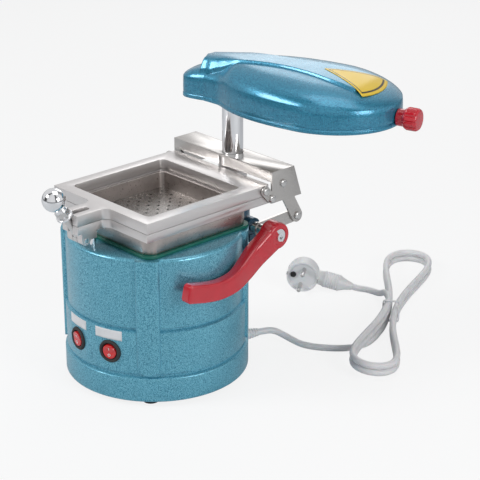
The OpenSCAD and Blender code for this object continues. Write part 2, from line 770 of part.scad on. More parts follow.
module hood_knob() {
    head_r = 11.4;
    color([0.86, 0.1, 0.13]) at_hood() translate([knob_u + near, 0, 8.6]) rotate([0, 90, 0]) difference() {
        union() {
            translate([0, 0, -0.005 * hood_front]) cylinder(r = 4, h = 1, $fn = fine);
            cylinder(r = 8.7, h = 8, $fn = fine);
            translate([0, 0, 8]) cylinder(r1 = 9.7, r2 = head_r, h = 1.6, $fn = fine);
            translate([0, 0, 9.6]) cylinder(r = head_r, h = 11.4, $fn = fine);
            translate([0, 0, 21]) cylinder(r1 = head_r, r2 = head_r - 1.5, h = 1.5, $fn = fine);
        }
        for (a = [0 : 30 : 330]) rotate([0, 0, a]) translate([head_r + 0.6, 0, 8.6])
            cylinder(r = 1.8, h = 30, $fn = 24);
    }
}

// Mains lead

cord_r = cord_d / 2;
waist = [95, 258];
hank_turn = 124;
hank_back = 175;
hank_front = 148;
hank_loops = 2;
waist_half = cord_r + 0.9;
layer = cord_d + 0.7;
rings_per_loop = 24;

lead_route = [[44.7, 121.4, 15.6], [49, 127, 13.5], [55.5, 131.5, 10], [64, 135, 6.8], [74, 138, 4.5],
    [83, 142, 3.8], [92, 147, 3.8], [100, 153, 3.8], [107.5, 160, 3.8], [114, 168, 3.8],
    [118.5, 177.5, 3.8], [120.5, 188, 3.9], [119.5, 198.5, 4.1], [116.5, 209, 4.4],
    [112.5, 219, 4.7], [108, 229, 4.9], [102.5, 238.5, 4.9]];
tail_route = [[82, 268.3, 20.3], [78, 271.7, 20.3], [74, 274.4, 20.2], [70, 277, 19.8],
    [66, 279.6, 18.7], [61.5, 282.6, 16.5], [56, 286.2, 13], [51, 289.6, 10], [45, 293, 7],
    [38, 295.6, 5], [30.5, 296.5, 4], [22.5, 295, 3.8]];
plug_at = [-35, 251, 19];
plug_turn = 38;
plug_tilt = 13;
plug_r = 18.5;
plug_t = 24;
relief_l = 40;

function unit(v) = v / norm(v);

// Middle of the hank's tube at an angle of turn, counted on over all the loops
function hank_at(a) =
    let (s = sin(a), k = floor(a / 360), t = a - 360 * k,
        x = s * (s > 0 ? hank_back : hank_front),
        bulge = s > 0 ? 57.5 : 52,
        y = -cos(a) * (waist_half + bulge * s * s),
        z = cord_r + (tie_t + 0.2) * cos(a) * cos(a) + layer * (k + smooth((t - 200) / 90)),
        c = cos(hank_turn), d = sin(hank_turn))
    [waist[0] + x * c + y * d, waist[1] + x * d - y * c, z];
hank_dir = [cos(hank_turn), sin(hank_turn), 0];
hank_start = hank_at(0);
hank_end = hank_at(360 * hank_loops);
hank_points = concat(
    [hank_start - 0.5 * cord_d * hank_dir, hank_start + 0.5 * cord_d * hank_dir],
    [for (i = [1 : rings_per_loop * hank_loops - 1]) hank_at(360 * i / rings_per_loop)],
    [hank_end - 0.5 * cord_d * hank_dir, hank_end + 0.5 * cord_d * hank_dir]);
hank_gap = min([for (i = [0 : 5 : 360 * (hank_loops - 1)], j = [i + 60 : 5 : 360 * hank_loops])
    norm(hank_at(i) - hank_at(j))]) - cord_d;
echo(least_gap_of_the_hank = hank_gap);

gland_dir = [cos(gland_turn), sin(gland_turn), 0];
gland_tip = (base_r + gland_l) * gland_dir + [0, 0, gland_z];
lead_points = concat([gland_tip, gland_tip + cord_d * gland_dir], lead_route,
    [hank_points[0] - 1.5 * cord_d * hank_dir, hank_points[0]]);
relief_dir = [cos(plug_turn) * cos(plug_tilt), sin(plug_turn) * cos(plug_tilt), -sin(plug_tilt)];
relief_tip = plug_at + (plug_r + relief_l) * relief_dir;
tail_points = concat([hank_points[len(hank_points) - 1],
    hank_points[len(hank_points) - 1] + cord_d * hank_dir], tail_route,
    [relief_tip + cord_d * relief_dir, relief_tip]);

function length_of(p) = len(p) < 2 ? 0 :
    [for (i = [0 : len(p) - 2]) norm(p[i + 1] - p[i])] * [for (i = [0 : len(p) - 2]) 1];
echo(length_of_the_lead = length_of(lead_points) + length_of(hank_points) + length_of(tail_points));

// Closed tube of a few flat sides along a line of points
module tube(points, r, sides) {
    n = len(points);
    rings = [for (i = [0 : n - 1])
        let (t = unit(points[min(n - 1, i + 1)] - points[max(0, i - 1)]),
            across = unit(cross(t, [0, 0, 1])), above = cross(across, t))
        for (k = [0 : sides - 1])
            let (a = 360 * (k + 0.5) / sides) points[i] + r * (cos(a) * across + sin(a) * above)];
    sides_faces = [for (i = [0 : n - 2], k = [0 : sides - 1]) let (m = (k + 1) % sides,
            a = i * sides + k, b = i * sides + m, c = a + sides, d = b + sides)
        each [[a, c, d], [a, d, b]]];
    ends = concat([for (k = [1 : sides - 2]) [0, k, k + 1]],
        [for (k = [1 : sides - 2]) [(n - 1) * sides, (n - 1) * sides + k + 1, (n - 1) * sides + k]]);
    polyhedron(rings, concat(sides_faces, ends), convexity = 10);
}

module cord_gland() {
    color([0.9, 0.9, 0.9]) on_wall(gland_turn, base_r, gland_z) {
        translate([0, 0, -8]) cylinder(r = gland_r, h = 8, $fn = fine);
        cylinder(r = 8.5, h = 3, $fn = fine);
        translate([0, 0, 3]) cylinder(r1 = 6.5, r2 = cord_r + 0.6, h = gland_l - 3, $fn = fine);
    }
}

module cord_lead() {
    color([0.93, 0.93, 0.93]) tube(lead_points, cord_r, 8);
}

module cord_hank() {
    color([0.93, 0.93, 0.93]) tube(hank_points, cord_r, 6);
}

module cord_tail() {
    color([0.93, 0.93, 0.93]) tube(tail_points, cord_r, 8);
}

// Band that holds the hank at its waist
module cord_tie() {
    w = 2 * (waist_half + cord_r + 0.4);
    h = cord_d + layer * 2 + 0.8;
    color([0.97, 0.97, 0.97]) translate([waist[0], waist[1], 0]) rotate([0, 0, hank_turn])
        rotate([90, 0, 90]) linear_extrude(3, center = true) translate([0, h / 2 + tie_t - 0.2])
            difference() {
                rounded(w + 2 * tie_t, h + 2 * tie_t - 0.4, 3);
                rounded(w, h - 0.4, 2);
            }
}

// Places its children at the plug's middle, with +X along its relief and its pins towards -Y
module at_plug() {
    translate(plug_at) rotate([0, plug_tilt, plug_turn]) children();
}

module plug_body() {
    color([0.93, 0.93, 0.93]) at_plug() difference() {
        union() {
            rotate([90, 0, 0]) cylinder(r = plug_r, h = plug_t, center = true, $fn = fine);
            rotate([0, 90, 0]) cylinder(r = 8, h = plug_r + 8, $fn = fine);
            translate([plug_r + 6, 0, 0]) rotate([0, 90, 0]) cylinder(r = 9.5, h = 18, $fn = fine);
            translate([plug_r + 24, 0, 0]) rotate([0, 90, 0])
                cylinder(r1 = 9.5, r2 = cord_r + 0.6, h = relief_l - 24, $fn = fine);
        }
        for (s = [-1, 1]) translate([s * 17.6, 0, 0]) cube([2.4, plug_t + 2, 5], center = true);
        for (z = [-9.5, 9.5]) translate([0, -plug_t / 2 - 1, z]) rotate([-90, 0, 0])
            cylinder(r = 2.4 + near, h = 10, $fn = 32);
        translate([-11, -plug_t / 2 - 1, 0]) rotate([-90, 0, 0]) cylinder(r = 2.6, h = 12, $fn = 32);
    }
}

module plug_pins() {
    color([0.75, 0.72, 0.65]) at_plug() for (z = [-9.5, 9.5])
        translate([0, -plug_t / 2 + 8, z]) rotate([90, 0, 0]) {
            cylinder(r = 2.4, h = 25, $fn = 32);
            translate([0, 0, 25]) cylinder(r1 = 2.4, r2 = 1.4, h = 2, $fn = 32);
        }
}

body_shell();
base_plate();
rubber_feet();
vacuum_motor();
rear_bracket();
post();
gasket();
vacuum_tray();
perforated_plate();
stop_pin();
bezel_vacuum();
bezel_heat();
rocker_vacuum();
rocker_heat();
carrier_bracket();
carrier_bushing();
lower_frame();
frame_rivets();
hinge_pins();
clamp_pin();
upper_frame();
swing_bolt();
ball_knob();
lever_shaft();
lever_handle();
lever_screw();
crank_bars();
crank_rivets();
link_left();
link_right();
hood_shell();
hood_hub();
heater_pan();
heater_element();
hood_knob();
cord_gland();
cord_lead();
cord_hank();
cord_tail();
cord_tie();
plug_body();
plug_pins();
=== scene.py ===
"""Visual model of a bench vacuum former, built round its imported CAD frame.

Sizes are written in millimetres and become metres where a mesh is made. +Z is up, the operator
stands at -Y, the lift lever is on the +X side and the post is at +Y.
"""
import logging
import math
from dataclasses import dataclass
from enum import Enum
from typing import Iterator, Sequence

import bmesh
import bpy
import numpy as np
from mathutils import Matrix, Vector


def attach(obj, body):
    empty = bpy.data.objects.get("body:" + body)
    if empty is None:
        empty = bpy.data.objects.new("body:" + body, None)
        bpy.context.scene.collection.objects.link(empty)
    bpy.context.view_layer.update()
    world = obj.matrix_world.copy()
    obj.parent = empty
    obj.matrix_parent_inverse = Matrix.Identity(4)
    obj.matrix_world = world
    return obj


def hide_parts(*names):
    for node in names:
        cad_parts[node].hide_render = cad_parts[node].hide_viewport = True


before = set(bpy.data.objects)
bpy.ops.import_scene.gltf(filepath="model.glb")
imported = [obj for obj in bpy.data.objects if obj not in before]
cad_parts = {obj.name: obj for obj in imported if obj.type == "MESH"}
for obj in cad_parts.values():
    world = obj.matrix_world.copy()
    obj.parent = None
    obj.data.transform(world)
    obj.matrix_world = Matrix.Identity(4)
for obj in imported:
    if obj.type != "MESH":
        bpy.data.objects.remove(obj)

Array = np.ndarray
Colour = tuple[float, float, float]
Triple = Sequence[float]
Socket = bpy.types.NodeSocket
Thing = bpy.types.Object
log = logging.getLogger("vacuum_former")
MM = 0.001
ORIGIN = (0.0, 0.0, 0.0)
X_AXIS, Y_AXIS = (1.0, 0.0, 0.0), (0.0, 1.0, 0.0)
ON_AXIS = 0.01  # Radius of the first and last ring of a turned piece
PLATE_WALL = 0.4  # Thickness of a stuck-on plate


class Body(Enum):
    """The rigid bodies of the frame."""

    ROOT = "root"
    CARRIER = "carrier"
    TOP_FRAME = "top_frame"
    BOLT = "clamp_bolt"
    KNOB = "clamp_knob"
    LEVER = "lever"
    LINKS = "links"
    HOOD = "hood"
    VACUUM_BUTTON = "vacuum_button"
    HEAT_BUTTON = "heat_button"


def tone(red: int, green: int, blue: int) -> Colour:
    """A colour as it looks on a screen, 0 to 255, as the linear light that a shader takes."""
    def linear(value: int) -> float:
        """One channel by the usual screen curve."""
        share = value / 255
        return share / 12.92 if share <= 0.04045 else ((share + 0.055) / 1.055) ** 2.4
    return linear(red), linear(green), linear(blue)


# Surfaces

def smooth(t: Array) -> Array:
    """Rises from 0 to 1 as 3t^2 - 2t^3, and stays at each end."""
    t = np.clip(t, 0, 1)
    return t * t * (3 - 2 * t)


def heading(degrees: float) -> Array:
    """Level direction at an angle from +X towards +Y."""
    turn = math.radians(degrees)
    return np.array([math.cos(turn), math.sin(turn), 0.0])


def roll(points: Array, angle: float) -> Array:
    """Turns points about the X axis by an angle in radians, from +Y towards +Z."""
    c, s = math.cos(angle), math.sin(angle)
    return points @ np.array([[1, 0, 0], [0, c, s], [0, -s, c]])


def ring_faces(rings: int, sides: int, capped: bool = True, looped: bool = False) -> list[Array]:
    """Faces of a surface whose points are rings of equal length, one after another.

    Point (i, j) has index i * sides + j, and each quad joins (i, j) to (i + 1, j + 1).

    Args:
        rings: How many rings there are.
        sides: How many points each ring has.
        capped: Whether one flat face closes each end.
        looped: Whether the last ring joins the first, as on a torus.

    Returns:
        Index arrays, one for each kind of face.
    """
    i = np.arange(rings if looped else rings - 1)[:, None]
    j = np.arange(sides)[None, :]
    here, there, k = i * sides, ((i + 1) % rings) * sides, (j + 1) % sides
    quads = np.stack([here + j, here + k, there + k, there + j], axis=-1).reshape(-1, 4)
    if looped or not capped:
        return [quads]
    first = np.arange(sides)[::-1][None, :]
    return [quads, first, (rings - 1) * sides + np.arange(sides)[None, :]]


def signed_volume(points: Array, faces: Sequence[Array]) -> float:
    """Six times the volume inside: the sum of a . (b x c) over each face's fan of triangles."""
    total = 0.0
    for group in faces:
        a, b, c = points[group[:, :1]], points[group[:, 1:-1]], points[group[:, 2:]]
        total += float(np.sum(a * np.cross(b, c)))
    return total


def in_scene(name: str, data: bpy.types.ID) -> Thing:
    """A new object in the scene's collection."""
    thing = bpy.data.objects.new(name, data)
    bpy.context.scene.collection.objects.link(thing)
    return thing


def make_object(name: str, points: Array, faces: Sequence[Array], sharp: float = 35.0,
                closed: bool = True) -> Thing:
    """Puts a surface into a new object at the origin, with its faces outwards.

    Args:
        name: The piece's name.
        points: Points in millimetres, on the array's last axis.
        faces: Index arrays of faces.
        sharp: Edges sharper than this many degrees stay sharp.
        closed: Whether the surface encloses a volume, which is then made positive.

    Returns:
        The new object.
    """
    points = np.asarray(points, float).reshape(-1, 3)
    if closed and signed_volume(points, faces) < 0:
        faces = [group[:, ::-1] for group in faces]
    mesh = bpy.data.meshes.new(name)
    counts = np.concatenate([np.full(len(group), group.shape[1]) for group in faces])
    corners = np.concatenate([group.ravel() for group in faces]).astype(np.int32)
    mesh.vertices.add(len(points))
    mesh.vertices.foreach_set("co", (points * MM).astype(np.float32).ravel())
    mesh.loops.add(len(corners))
    mesh.loops.foreach_set("vertex_index", corners)
    mesh.polygons.add(len(counts))
    starts = np.concatenate([[0], np.cumsum(counts)[:-1]]).astype(np.int32)
    mesh.polygons.foreach_set("loop_start", starts)
    mesh.polygons.foreach_set("use_smooth", np.ones(len(counts), bool))
    mesh.update(calc_edges=True)
    mesh.validate()
    mesh.set_sharp_from_angle(angle=math.radians(sharp))
    return in_scene(name, mesh)


def lathe(profile: Array, sides: int) -> Array:
    """Rings made by turning (radius, height) points round the Z axis."""
    turn = np.linspace(0, 2 * math.pi, sides, endpoint=False)
    radius, height = profile[:, :1], profile[:, 1:2]
    return np.stack([radius * np.cos(turn), radius * np.sin(turn), height + 0 * turn], axis=-1)


def rounded_profile(corners: Sequence[Triple], steps: int = 5) -> Array:
    """A line of (radius, height) points whose corners are rounded.

    Args:
        corners: Each corner's radius and height, and the size of its rounding.
        steps: Points along each rounding.

    Returns:
        Points, where a rounded corner follows the curve (1-t)^2 a + 2t(1-t) b + t^2 c between
        the points a and c that lie its rounding's size away from the corner b.
    """
    line: list[Array] = []
    spots = [np.array(corner[:2], float) for corner in corners]
    t = np.linspace(0, 1, steps)[:, None]
    for index, (_, _, size) in enumerate(corners):
        spot = spots[index]
        if size <= 0 or index in (0, len(corners) - 1):
            line.append(spot[None, :])
            continue
        ends = []
        for other in (spots[index - 1] - spot, spots[index + 1] - spot):
            far = np.linalg.norm(other)
            ends.append(spot + other / far * min(size, far * 0.49))
        line.append((1 - t) ** 2 * ends[0] + 2 * t * (1 - t) * spot + t ** 2 * ends[1])
    return np.concatenate(line)


def stand(points: Array, origin: Triple, up: Triple, side: Triple = (0, 0, 1)) -> Array:
    """Moves points so that their Z axis lies along up at origin, and their X axis nearest side."""
    z = np.array(up, float) / np.linalg.norm(up)
    x = np.array(side, float) - z * np.dot(side, z)
    x /= np.linalg.norm(x)
    return points @ np.stack([x, np.cross(z, x), z]) + np.array(origin, float)


def dense_line(route: Array, parts: int) -> Array:
    """A smooth line through a route: each stretch b to c is the cubic that leaves b along c - a
    and reaches c along d - b, cut into equal parts."""
    padded = np.concatenate([route[:1], route, route[-1:]])
    a, b, c, d = (group[:, None, :] for group in (padded[:-3], padded[1:-2], padded[2:-1],
                                                  padded[3:]))
    t = (np.arange(parts) / parts)[None, :, None]
    line = 0.5 * (2 * b + (c - a) * t + (2 * a - 5 * b + 4 * c - d) * t ** 2
                  + (3 * b - a - 3 * c + d) * t ** 3)
    return np.concatenate([line.reshape(-1, 3), route[-1:]])


def tube_rings(line: Array, radius: float, sides: int) -> Array:
    """Rings of a round tube: across each direction, one axis is level and the other is above."""
    ahead = np.gradient(line, axis=0)
    ahead /= np.linalg.norm(ahead, axis=1, keepdims=True)
    across = np.cross(ahead, (0.0, 0.0, 1.0))
    across /= np.linalg.norm(across, axis=1, keepdims=True)
    above = np.cross(across, ahead)
    turn = np.linspace(0, 2 * math.pi, sides, endpoint=False)[None, :, None]
    return line[:, None] + radius * (np.cos(turn) * across[:, None]
                                     + np.sin(turn) * above[:, None])


def rounded_square(width: float, depth: float, radius: float, steps: int = 6) -> Array:
    """Outline of a rectangle with round corners, as (x, y) points from its first quarter on."""
    t = np.linspace(0, math.pi / 2, steps)
    arc = radius * np.stack([np.cos(t), np.sin(t)], axis=1)
    quarters = []
    for turn, sx, sy in ((0, 1, 1), (1, -1, 1), (2, -1, -1), (3, 1, -1)):
        c, s = math.cos(turn * math.pi / 2), math.sin(turn * math.pi / 2)
        corner = np.array([sx * (width / 2 - radius), sy * (depth / 2 - radius)])
        quarters.append(arc @ np.array([[c, s], [-s, c]]) + corner)
    return np.concatenate(quarters)


def plate_rings(outline: Array, thickness: float, edge: float, steps: int = 4) -> Array:
    """Rings of a flat plate on z = 0: each ring is the outline drawn in by edge * (1 - sin) while
    it rises or falls by edge * (1 - cos), so that both rims are rounded."""
    middle = outline.mean(axis=0)
    reach = np.abs(outline - middle).max()
    t = np.linspace(0, math.pi / 2, steps)
    inset, climb = edge * (1 - np.sin(t)), edge * (1 - np.cos(t))
    heights = np.concatenate([climb, thickness - climb[::-1]])
    scale = 1 - np.concatenate([inset, inset[::-1]])[:, None, None] / reach
    flat = middle + (outline - middle)[None] * scale
    levels = np.broadcast_to(heights[:, None, None], flat.shape[:2] + (1,))
    return np.concatenate([flat, levels], axis=-1)


def thin_plate(name: str, grid: Array, outwards: Triple) -> Thing:
    """A thin plate: an open grid of points that faces outwards and is thickened behind."""
    rows, columns = grid.shape[:2]
    i, j = np.arange(rows - 1)[:, None] * columns, np.arange(columns - 1)[None, :]
    quads = np.stack([i + j, i + j + 1, i + j + 1 + columns, i + j + columns], axis=-1)
    thing = make_object(name, grid, [quads.reshape(-1, 4)], closed=False)
    faces = thing.data.polygons
    if faces[len(faces) // 2].normal.dot(Vector(outwards)) < 0:
        thing.data.flip_normals()
    wall = thing.modifiers.new("thickness", "SOLIDIFY")
    wall.thickness = PLATE_WALL * MM
    wall.offset = -1.0
    return thing


# Finishes

class Graph:
    """A node tree under construction."""

    def __init__(self, tree: bpy.types.NodeTree) -> None:
        """Starts on a tree."""
        self.tree = tree

    def feed(self, socket: Socket, value: object) -> None:
        """Links a socket to another, or gives it a value. A colour is given without its alpha."""
        if isinstance(value, Socket):
            self.tree.links.new(value, socket)
        else:
            socket.default_value = (*value, 1.0) if socket.type == "RGBA" else value

    def node(self, kind: str, **values: object) -> bpy.types.Node:
        """Adds a node and sets its attributes or sockets, with underlines for spaces."""
        made = self.tree.nodes.new("ShaderNode" + kind)
        for key, value in values.items():
            if hasattr(made, key):
                setattr(made, key, value)
            else:
                self.feed(made.inputs[key.replace("_", " ")], value)
        return made

    def fed(self, made: bpy.types.Node, *values: object) -> Socket:
        """Feeds a node's sockets in their order, and gives its first output."""
        for socket, value in zip(made.inputs, values):
            self.feed(socket, value)
        return made.outputs[0]

    def math(self, operation: str, first: Socket, second: Socket | float = 0.0) -> Socket:
        """One sum of a socket with another or with a number."""
        return self.fed(self.node("Math", operation=operation), first, second)

    def mix(self, share: Socket, under: Socket, over: Socket) -> Socket:
        """A share of one shader over another."""
        return self.fed(self.node("MixShader"), share, under, over)

    def ramp(self, value: Socket, stops: Sequence[tuple[float, Colour]]) -> Socket:
        """A colour for each value, through the stops given."""
        made = self.node("ValToRGB", Fac=value)
        elements = made.color_ramp.elements
        while len(elements) < len(stops):
            elements.new(0.5)
        for element, (position, colour) in zip(elements, stops):
            element.position = position
            element.color = (*colour, 1.0)
        return made.outputs["Color"]

    def span(self, value: Socket, low: float, high: float, first: float = 0.3,
             last: float = 0.7) -> Socket:
        """Maps a value from the range first to last onto the range low to high."""
        return self.node("MapRange", Value=value, From_Min=first, From_Max=last, To_Min=low,
                         To_Max=high).outputs["Result"]


class Nodes(Graph):
    """A material's nodes, with its pattern on the piece's own coordinates."""

    def __init__(self, name: str) -> None:
        """Starts a material called name."""
        self.material = bpy.data.materials.new(name)
        self.material.use_nodes = True
        super().__init__(self.material.node_tree)
        self.shader = self.tree.nodes["Principled BSDF"]
        self.place = self.node("TexCoord").outputs["Object"]

    def shade(self, **values: object) -> None:
        """Feeds the shader's sockets, with underlines for spaces."""
        for key, value in values.items():
            self.feed(self.shader.inputs[key.replace("_", " ")], value)

    def noise(self, scale: float, detail: float = 3.0, rough: float = 0.5,
              stretch: Triple | None = None) -> Socket:
        """Cloudy noise with about scale features to the metre."""
        place = self.place
        if stretch:
            place = self.node("Mapping", Vector=place, Scale=stretch).outputs["Vector"]
        return self.node("TexNoise", Vector=place, Scale=scale, Detail=detail,
                         Roughness=rough).outputs["Fac"]

    def cells(self, scale: float) -> Socket:
        """Distance to the nearest cell's middle."""
        return self.node("TexVoronoi", feature="SMOOTH_F1", Vector=self.place, Scale=scale,
                         Smoothness=0.6).outputs["Distance"]

    def bump(self, height: Socket, depth: float, strength: float, **under: Socket) -> Socket:
        """A bump of that depth in metres, on top of another given as Normal."""
        return self.node("Bump", Height=height, Distance=depth, Strength=strength,
                         **under).outputs["Normal"]


@dataclass(frozen=True)
class Finish:
    """A finish that pieces share. Its material is made once."""

    name: str

    def build(self, nodes: Nodes) -> None:
        """Sets up the material's nodes."""
        raise NotImplementedError

    @property
    def material(self) -> bpy.types.Material:
        """The material, made at its first use."""
        found = bpy.data.materials.get(self.name)
        if found is None:
            nodes = Nodes(self.name)
            self.build(nodes)
            found = nodes.material
        return found


@dataclass(frozen=True)
class HammeredEnamel(Finish):
    """Stoved hammer-effect enamel: flakes of light paint in a fine net of dark paint."""

    light: Colour
    deep: Colour
    net: Colour
    grain: float = 1150.0
    roughness: float = 0.32

    def build(self, nodes: Nodes) -> None:
        """Mixes three tones by fine noise, and dents the surface by cells of about that size."""
        speck = nodes.noise(self.grain, 2.0, 0.55)
        colour = nodes.ramp(speck, [(0.34, self.net), (0.46, self.deep), (0.58, self.light)])
        rough = nodes.span(nodes.noise(60.0, 2.0), self.roughness - 0.04, self.roughness + 0.05)
        dent = nodes.bump(nodes.cells(self.grain * 0.5), 0.0003, 0.25)
        nodes.shade(Base_Color=colour, Roughness=rough, Metallic=0.4, Coat_Weight=0.5,
                    Coat_Roughness=0.12, Specular_IOR_Level=0.5,
                    Normal=nodes.bump(speck, 0.0001, 0.3, Normal=dent))


@dataclass(frozen=True)
class Metal(Finish):
    """Bare metal, cast, rolled or turned, with a fine grain."""

    colour: Colour
    roughness: float
    grain: float = 900.0
    depth: float = 0.00004
    stretch: Colour = (1.0, 1.0, 1.0)
    spread: float = 0.08
    stain: float = 0.10

    def build(self, nodes: Nodes) -> None:
        """Clouds the tone and the roughness, and adds the grain as a shallow bump."""
        dark = tuple(channel * (1 - self.stain) for channel in self.colour)
        tones = nodes.ramp(nodes.noise(38.0, 4.0), [(0.35, dark), (0.62, self.colour)])
        grain = nodes.noise(self.grain, 2.0, 0.6, self.stretch)
        least = max(0.03, self.roughness - self.spread)
        rough = nodes.span(grain, least, self.roughness + self.spread)
        nodes.shade(Base_Color=tones, Roughness=rough, Metallic=1.0,
                    Normal=nodes.bump(grain, self.depth, 0.5))


@dataclass(frozen=True)
class TrayCastingWithPaintedShade(Metal):
    """The tray's casting, with painted shade: its floor under the perforated plate is painted black
    for the shade of the enclosed cavity.
    """

    # Painted shade: floor is the black painted on the enclosed cavity under the plate, not the
    # casting's own colour; half, middle_y and plate_z bound it.
    floor: Colour = (0.006, 0.006, 0.006)
    half: float = 0.0557
    middle_y: float = 0.003
    plate_z: float = 0.1677

    def build(self, nodes: Nodes) -> None:
        """Mixes in the painted shade's black where |x|, |y - middle| and z are all under their
        limits.
        """
        super().build(nodes)
        bright = nodes.shader.inputs["Base Color"].links[0].from_socket
        split = nodes.node("SeparateXYZ", Vector=nodes.place).outputs
        across = nodes.math("ABSOLUTE", split["X"])
        along = nodes.math("ABSOLUTE", nodes.math("SUBTRACT", split["Y"], self.middle_y))
        inside = nodes.math("LESS_THAN", nodes.math("MAXIMUM", across, along), self.half)
        below = nodes.math("LESS_THAN", split["Z"], self.plate_z)
        # Paints the black shade over the cavity under the perforated plate.
        with_painted_shade = nodes.node("MixRGB", Fac=nodes.math("MULTIPLY", inside, below), Color1=bright,
                           Color2=self.floor)
        nodes.shade(Base_Color=with_painted_shade.outputs[0])


@dataclass(frozen=True)
class Moulded(Finish):
    """Moulded plastic or rubber, with a faint mottle and a fine skin."""

    colour: Colour
    roughness: float
    coat: float = 0.0
    soft: float = 0.0
    depth: float = 0.00003
    mottle: float = 0.06

    def build(self, nodes: Nodes) -> None:
        """Mottles the tone and adds the skin as a shallow bump."""
        cloud = nodes.noise(90.0, 3.0)
        dark = tuple(channel * (1 - self.mottle) for channel in self.colour)
        nodes.shade(Base_Color=nodes.ramp(cloud, [(0.35, dark), (0.65, self.colour)]),
                    Roughness=nodes.span(cloud, self.roughness - 0.03, self.roughness + 0.04),
                    Normal=nodes.bump(nodes.noise(1400.0, 2.0), self.depth, 0.4),
                    Coat_Weight=self.coat, Coat_Roughness=0.06, Subsurface_Weight=self.soft,
                    Subsurface_Scale=0.004)


@dataclass(frozen=True)
class BorderedPlate(Finish):
    """A printed plate with a dark line round its edge, drawn on the plate's own UV map."""

    ground: Colour
    border: Colour
    first: float
    last: float
    edge: float = 0.006

    def build(self, nodes: Nodes) -> None:
        """Draws a line between two values of the smaller of the UV map's two distances."""
        place = nodes.node("UVMap", uv_map="plate").outputs["UV"]
        split = nodes.node("SeparateXYZ", Vector=place).outputs
        stops = [(0.0, self.ground), (self.first, self.ground),
                 (self.first + self.edge, self.border), (self.last, self.border),
                 (self.last + self.edge, self.ground)]
        nodes.shade(Base_Color=nodes.ramp(nodes.math("MINIMUM", split["X"], split["Y"]), stops),
                    Roughness=nodes.span(nodes.noise(50.0), 0.38, 0.46), Coat_Weight=0.25,
                    Coat_Roughness=0.2)


HOUSING_BLUE = HammeredEnamel("hammered_enamel_housing", tone(122, 196, 216),
                              tone(84, 162, 188), tone(44, 116, 146))
HOOD_BLUE = HammeredEnamel("hammered_enamel_hood", tone(64, 154, 184), tone(38, 128, 162),
                           tone(18, 92, 126), roughness=0.28)
BRACKET_BLUE = HammeredEnamel("dark_enamel_bracket", tone(28, 92, 120), tone(16, 66, 92),
                              tone(8, 44, 64))
CAST_SILVER = Metal("cast_silver", tone(200, 195, 192), 0.3, 900.0, 0.00005, stain=0.12)
TRAY_SILVER_PAINTED_SHADE = TrayCastingWithPaintedShade("tray_casting_painted_shade", tone(186, 178, 174), 0.34, 520.0, 0.00012, stain=0.25)
SHEET_SILVER = Metal("rolled_sheet", tone(200, 197, 194), 0.28, 2400.0, 0.000002,
                     (0.5, 1.0, 1.0), 0.02, 0.05)
PLATE_STEEL = Metal("perforated_steel", tone(164, 161, 158), 0.26, 600.0, 0.000006, stain=0.08)
BRIGHT_STEEL = Metal("turned_steel", tone(214, 213, 212), 0.2, 900.0, 0.00002, (1.0, 1.0, 0.2))
CHROME = Metal("polished_chrome", tone(235, 236, 238), 0.055, 300.0, 0.000004, spread=0.02,
               stain=0.03)
MOTOR_GREY = Metal("motor_sheet", tone(150, 152, 156), 0.4)
RED_LACQUER = Moulded("red_lacquer", tone(208, 20, 42), 0.2, coat=0.7)
RED_LENS = Moulded("red_lens", tone(226, 38, 40), 0.12, coat=0.6, soft=0.25)
BLACK_PLASTIC = Moulded("black_plastic", tone(24, 24, 25), 0.36, mottle=0.2)
WHITE_JACKET = Moulded("white_jacket", tone(238, 238, 239), 0.36, soft=0.08)
WHITE_PLATE = Moulded("white_plate", tone(240, 241, 243), 0.32)
GREEN_SILICONE = Moulded("green_silicone", tone(10, 112, 96), 0.42, mottle=0.15)
BLACK_RUBBER = Moulded("black_rubber", tone(22, 22, 22), 0.62, mottle=0.25, depth=0.00006)
CERAMIC = Moulded("heater_ceramic", tone(214, 204, 190), 0.6, mottle=0.18, depth=0.0001)
YELLOW_PLATE = BorderedPlate("yellow_plate", tone(246, 208, 60), tone(40, 36, 24), 0.095, 0.15)

NODE_FINISHES: dict[str, Finish] = {
    node: finish for finish, nodes in (
        (HOUSING_BLUE, "body_shell"), (BRACKET_BLUE, "rear_bracket"), (HOOD_BLUE, "hood_shell"),
        (TRAY_SILVER_PAINTED_SHADE, "vacuum_tray"), (PLATE_STEEL, "perforated_plate"),
        (SHEET_SILVER, "base_plate carrier_bracket crank_bars link_left link_right heater_pan"),
        (CAST_SILVER, "carrier_bushing lower_frame upper_frame hood_hub"),
        (BRIGHT_STEEL, "frame_rivets hinge_pins clamp_pin swing_bolt lever_shaft crank_rivets "
                       "plug_pins"),
        (CHROME, "post stop_pin ball_knob lever_screw"), (MOTOR_GREY, "vacuum_motor"),
        (RED_LACQUER, "lever_handle hood_knob"), (RED_LENS, "rocker_vacuum rocker_heat"),
        (BLACK_PLASTIC, "bezel_vacuum bezel_heat"), (BLACK_RUBBER, "rubber_feet"),
        (GREEN_SILICONE, "gasket"), (CERAMIC, "heater_element"),
        (WHITE_JACKET, "cord_gland cord_lead cord_hank cord_tail cord_tie plug_body"),
    ) for node in nodes.split()
}


def dress(thing: Thing, finish: Finish) -> None:
    """Gives every face of a piece one finish."""
    thing.data.materials.clear()
    thing.data.materials.append(finish.material)


def settle(thing: Thing, finish: Finish, body: Body,
           nodes: Sequence[str] = ()) -> Thing:
    """Dresses a new piece, joins it to its body and hides the CAD nodes that it replaces.

    Args:
        thing: The piece, already in place.
        finish: Its finish.
        body: The body that it rides on.
        nodes: CAD nodes that it replaces.

    Returns:
        The same piece.
    """
    dress(thing, finish)
    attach(thing, body.value)
    if nodes:
        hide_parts(*nodes)
    log.info("%s: %d faces on %s", thing.name, len(thing.data.polygons), body.value)
    return thing


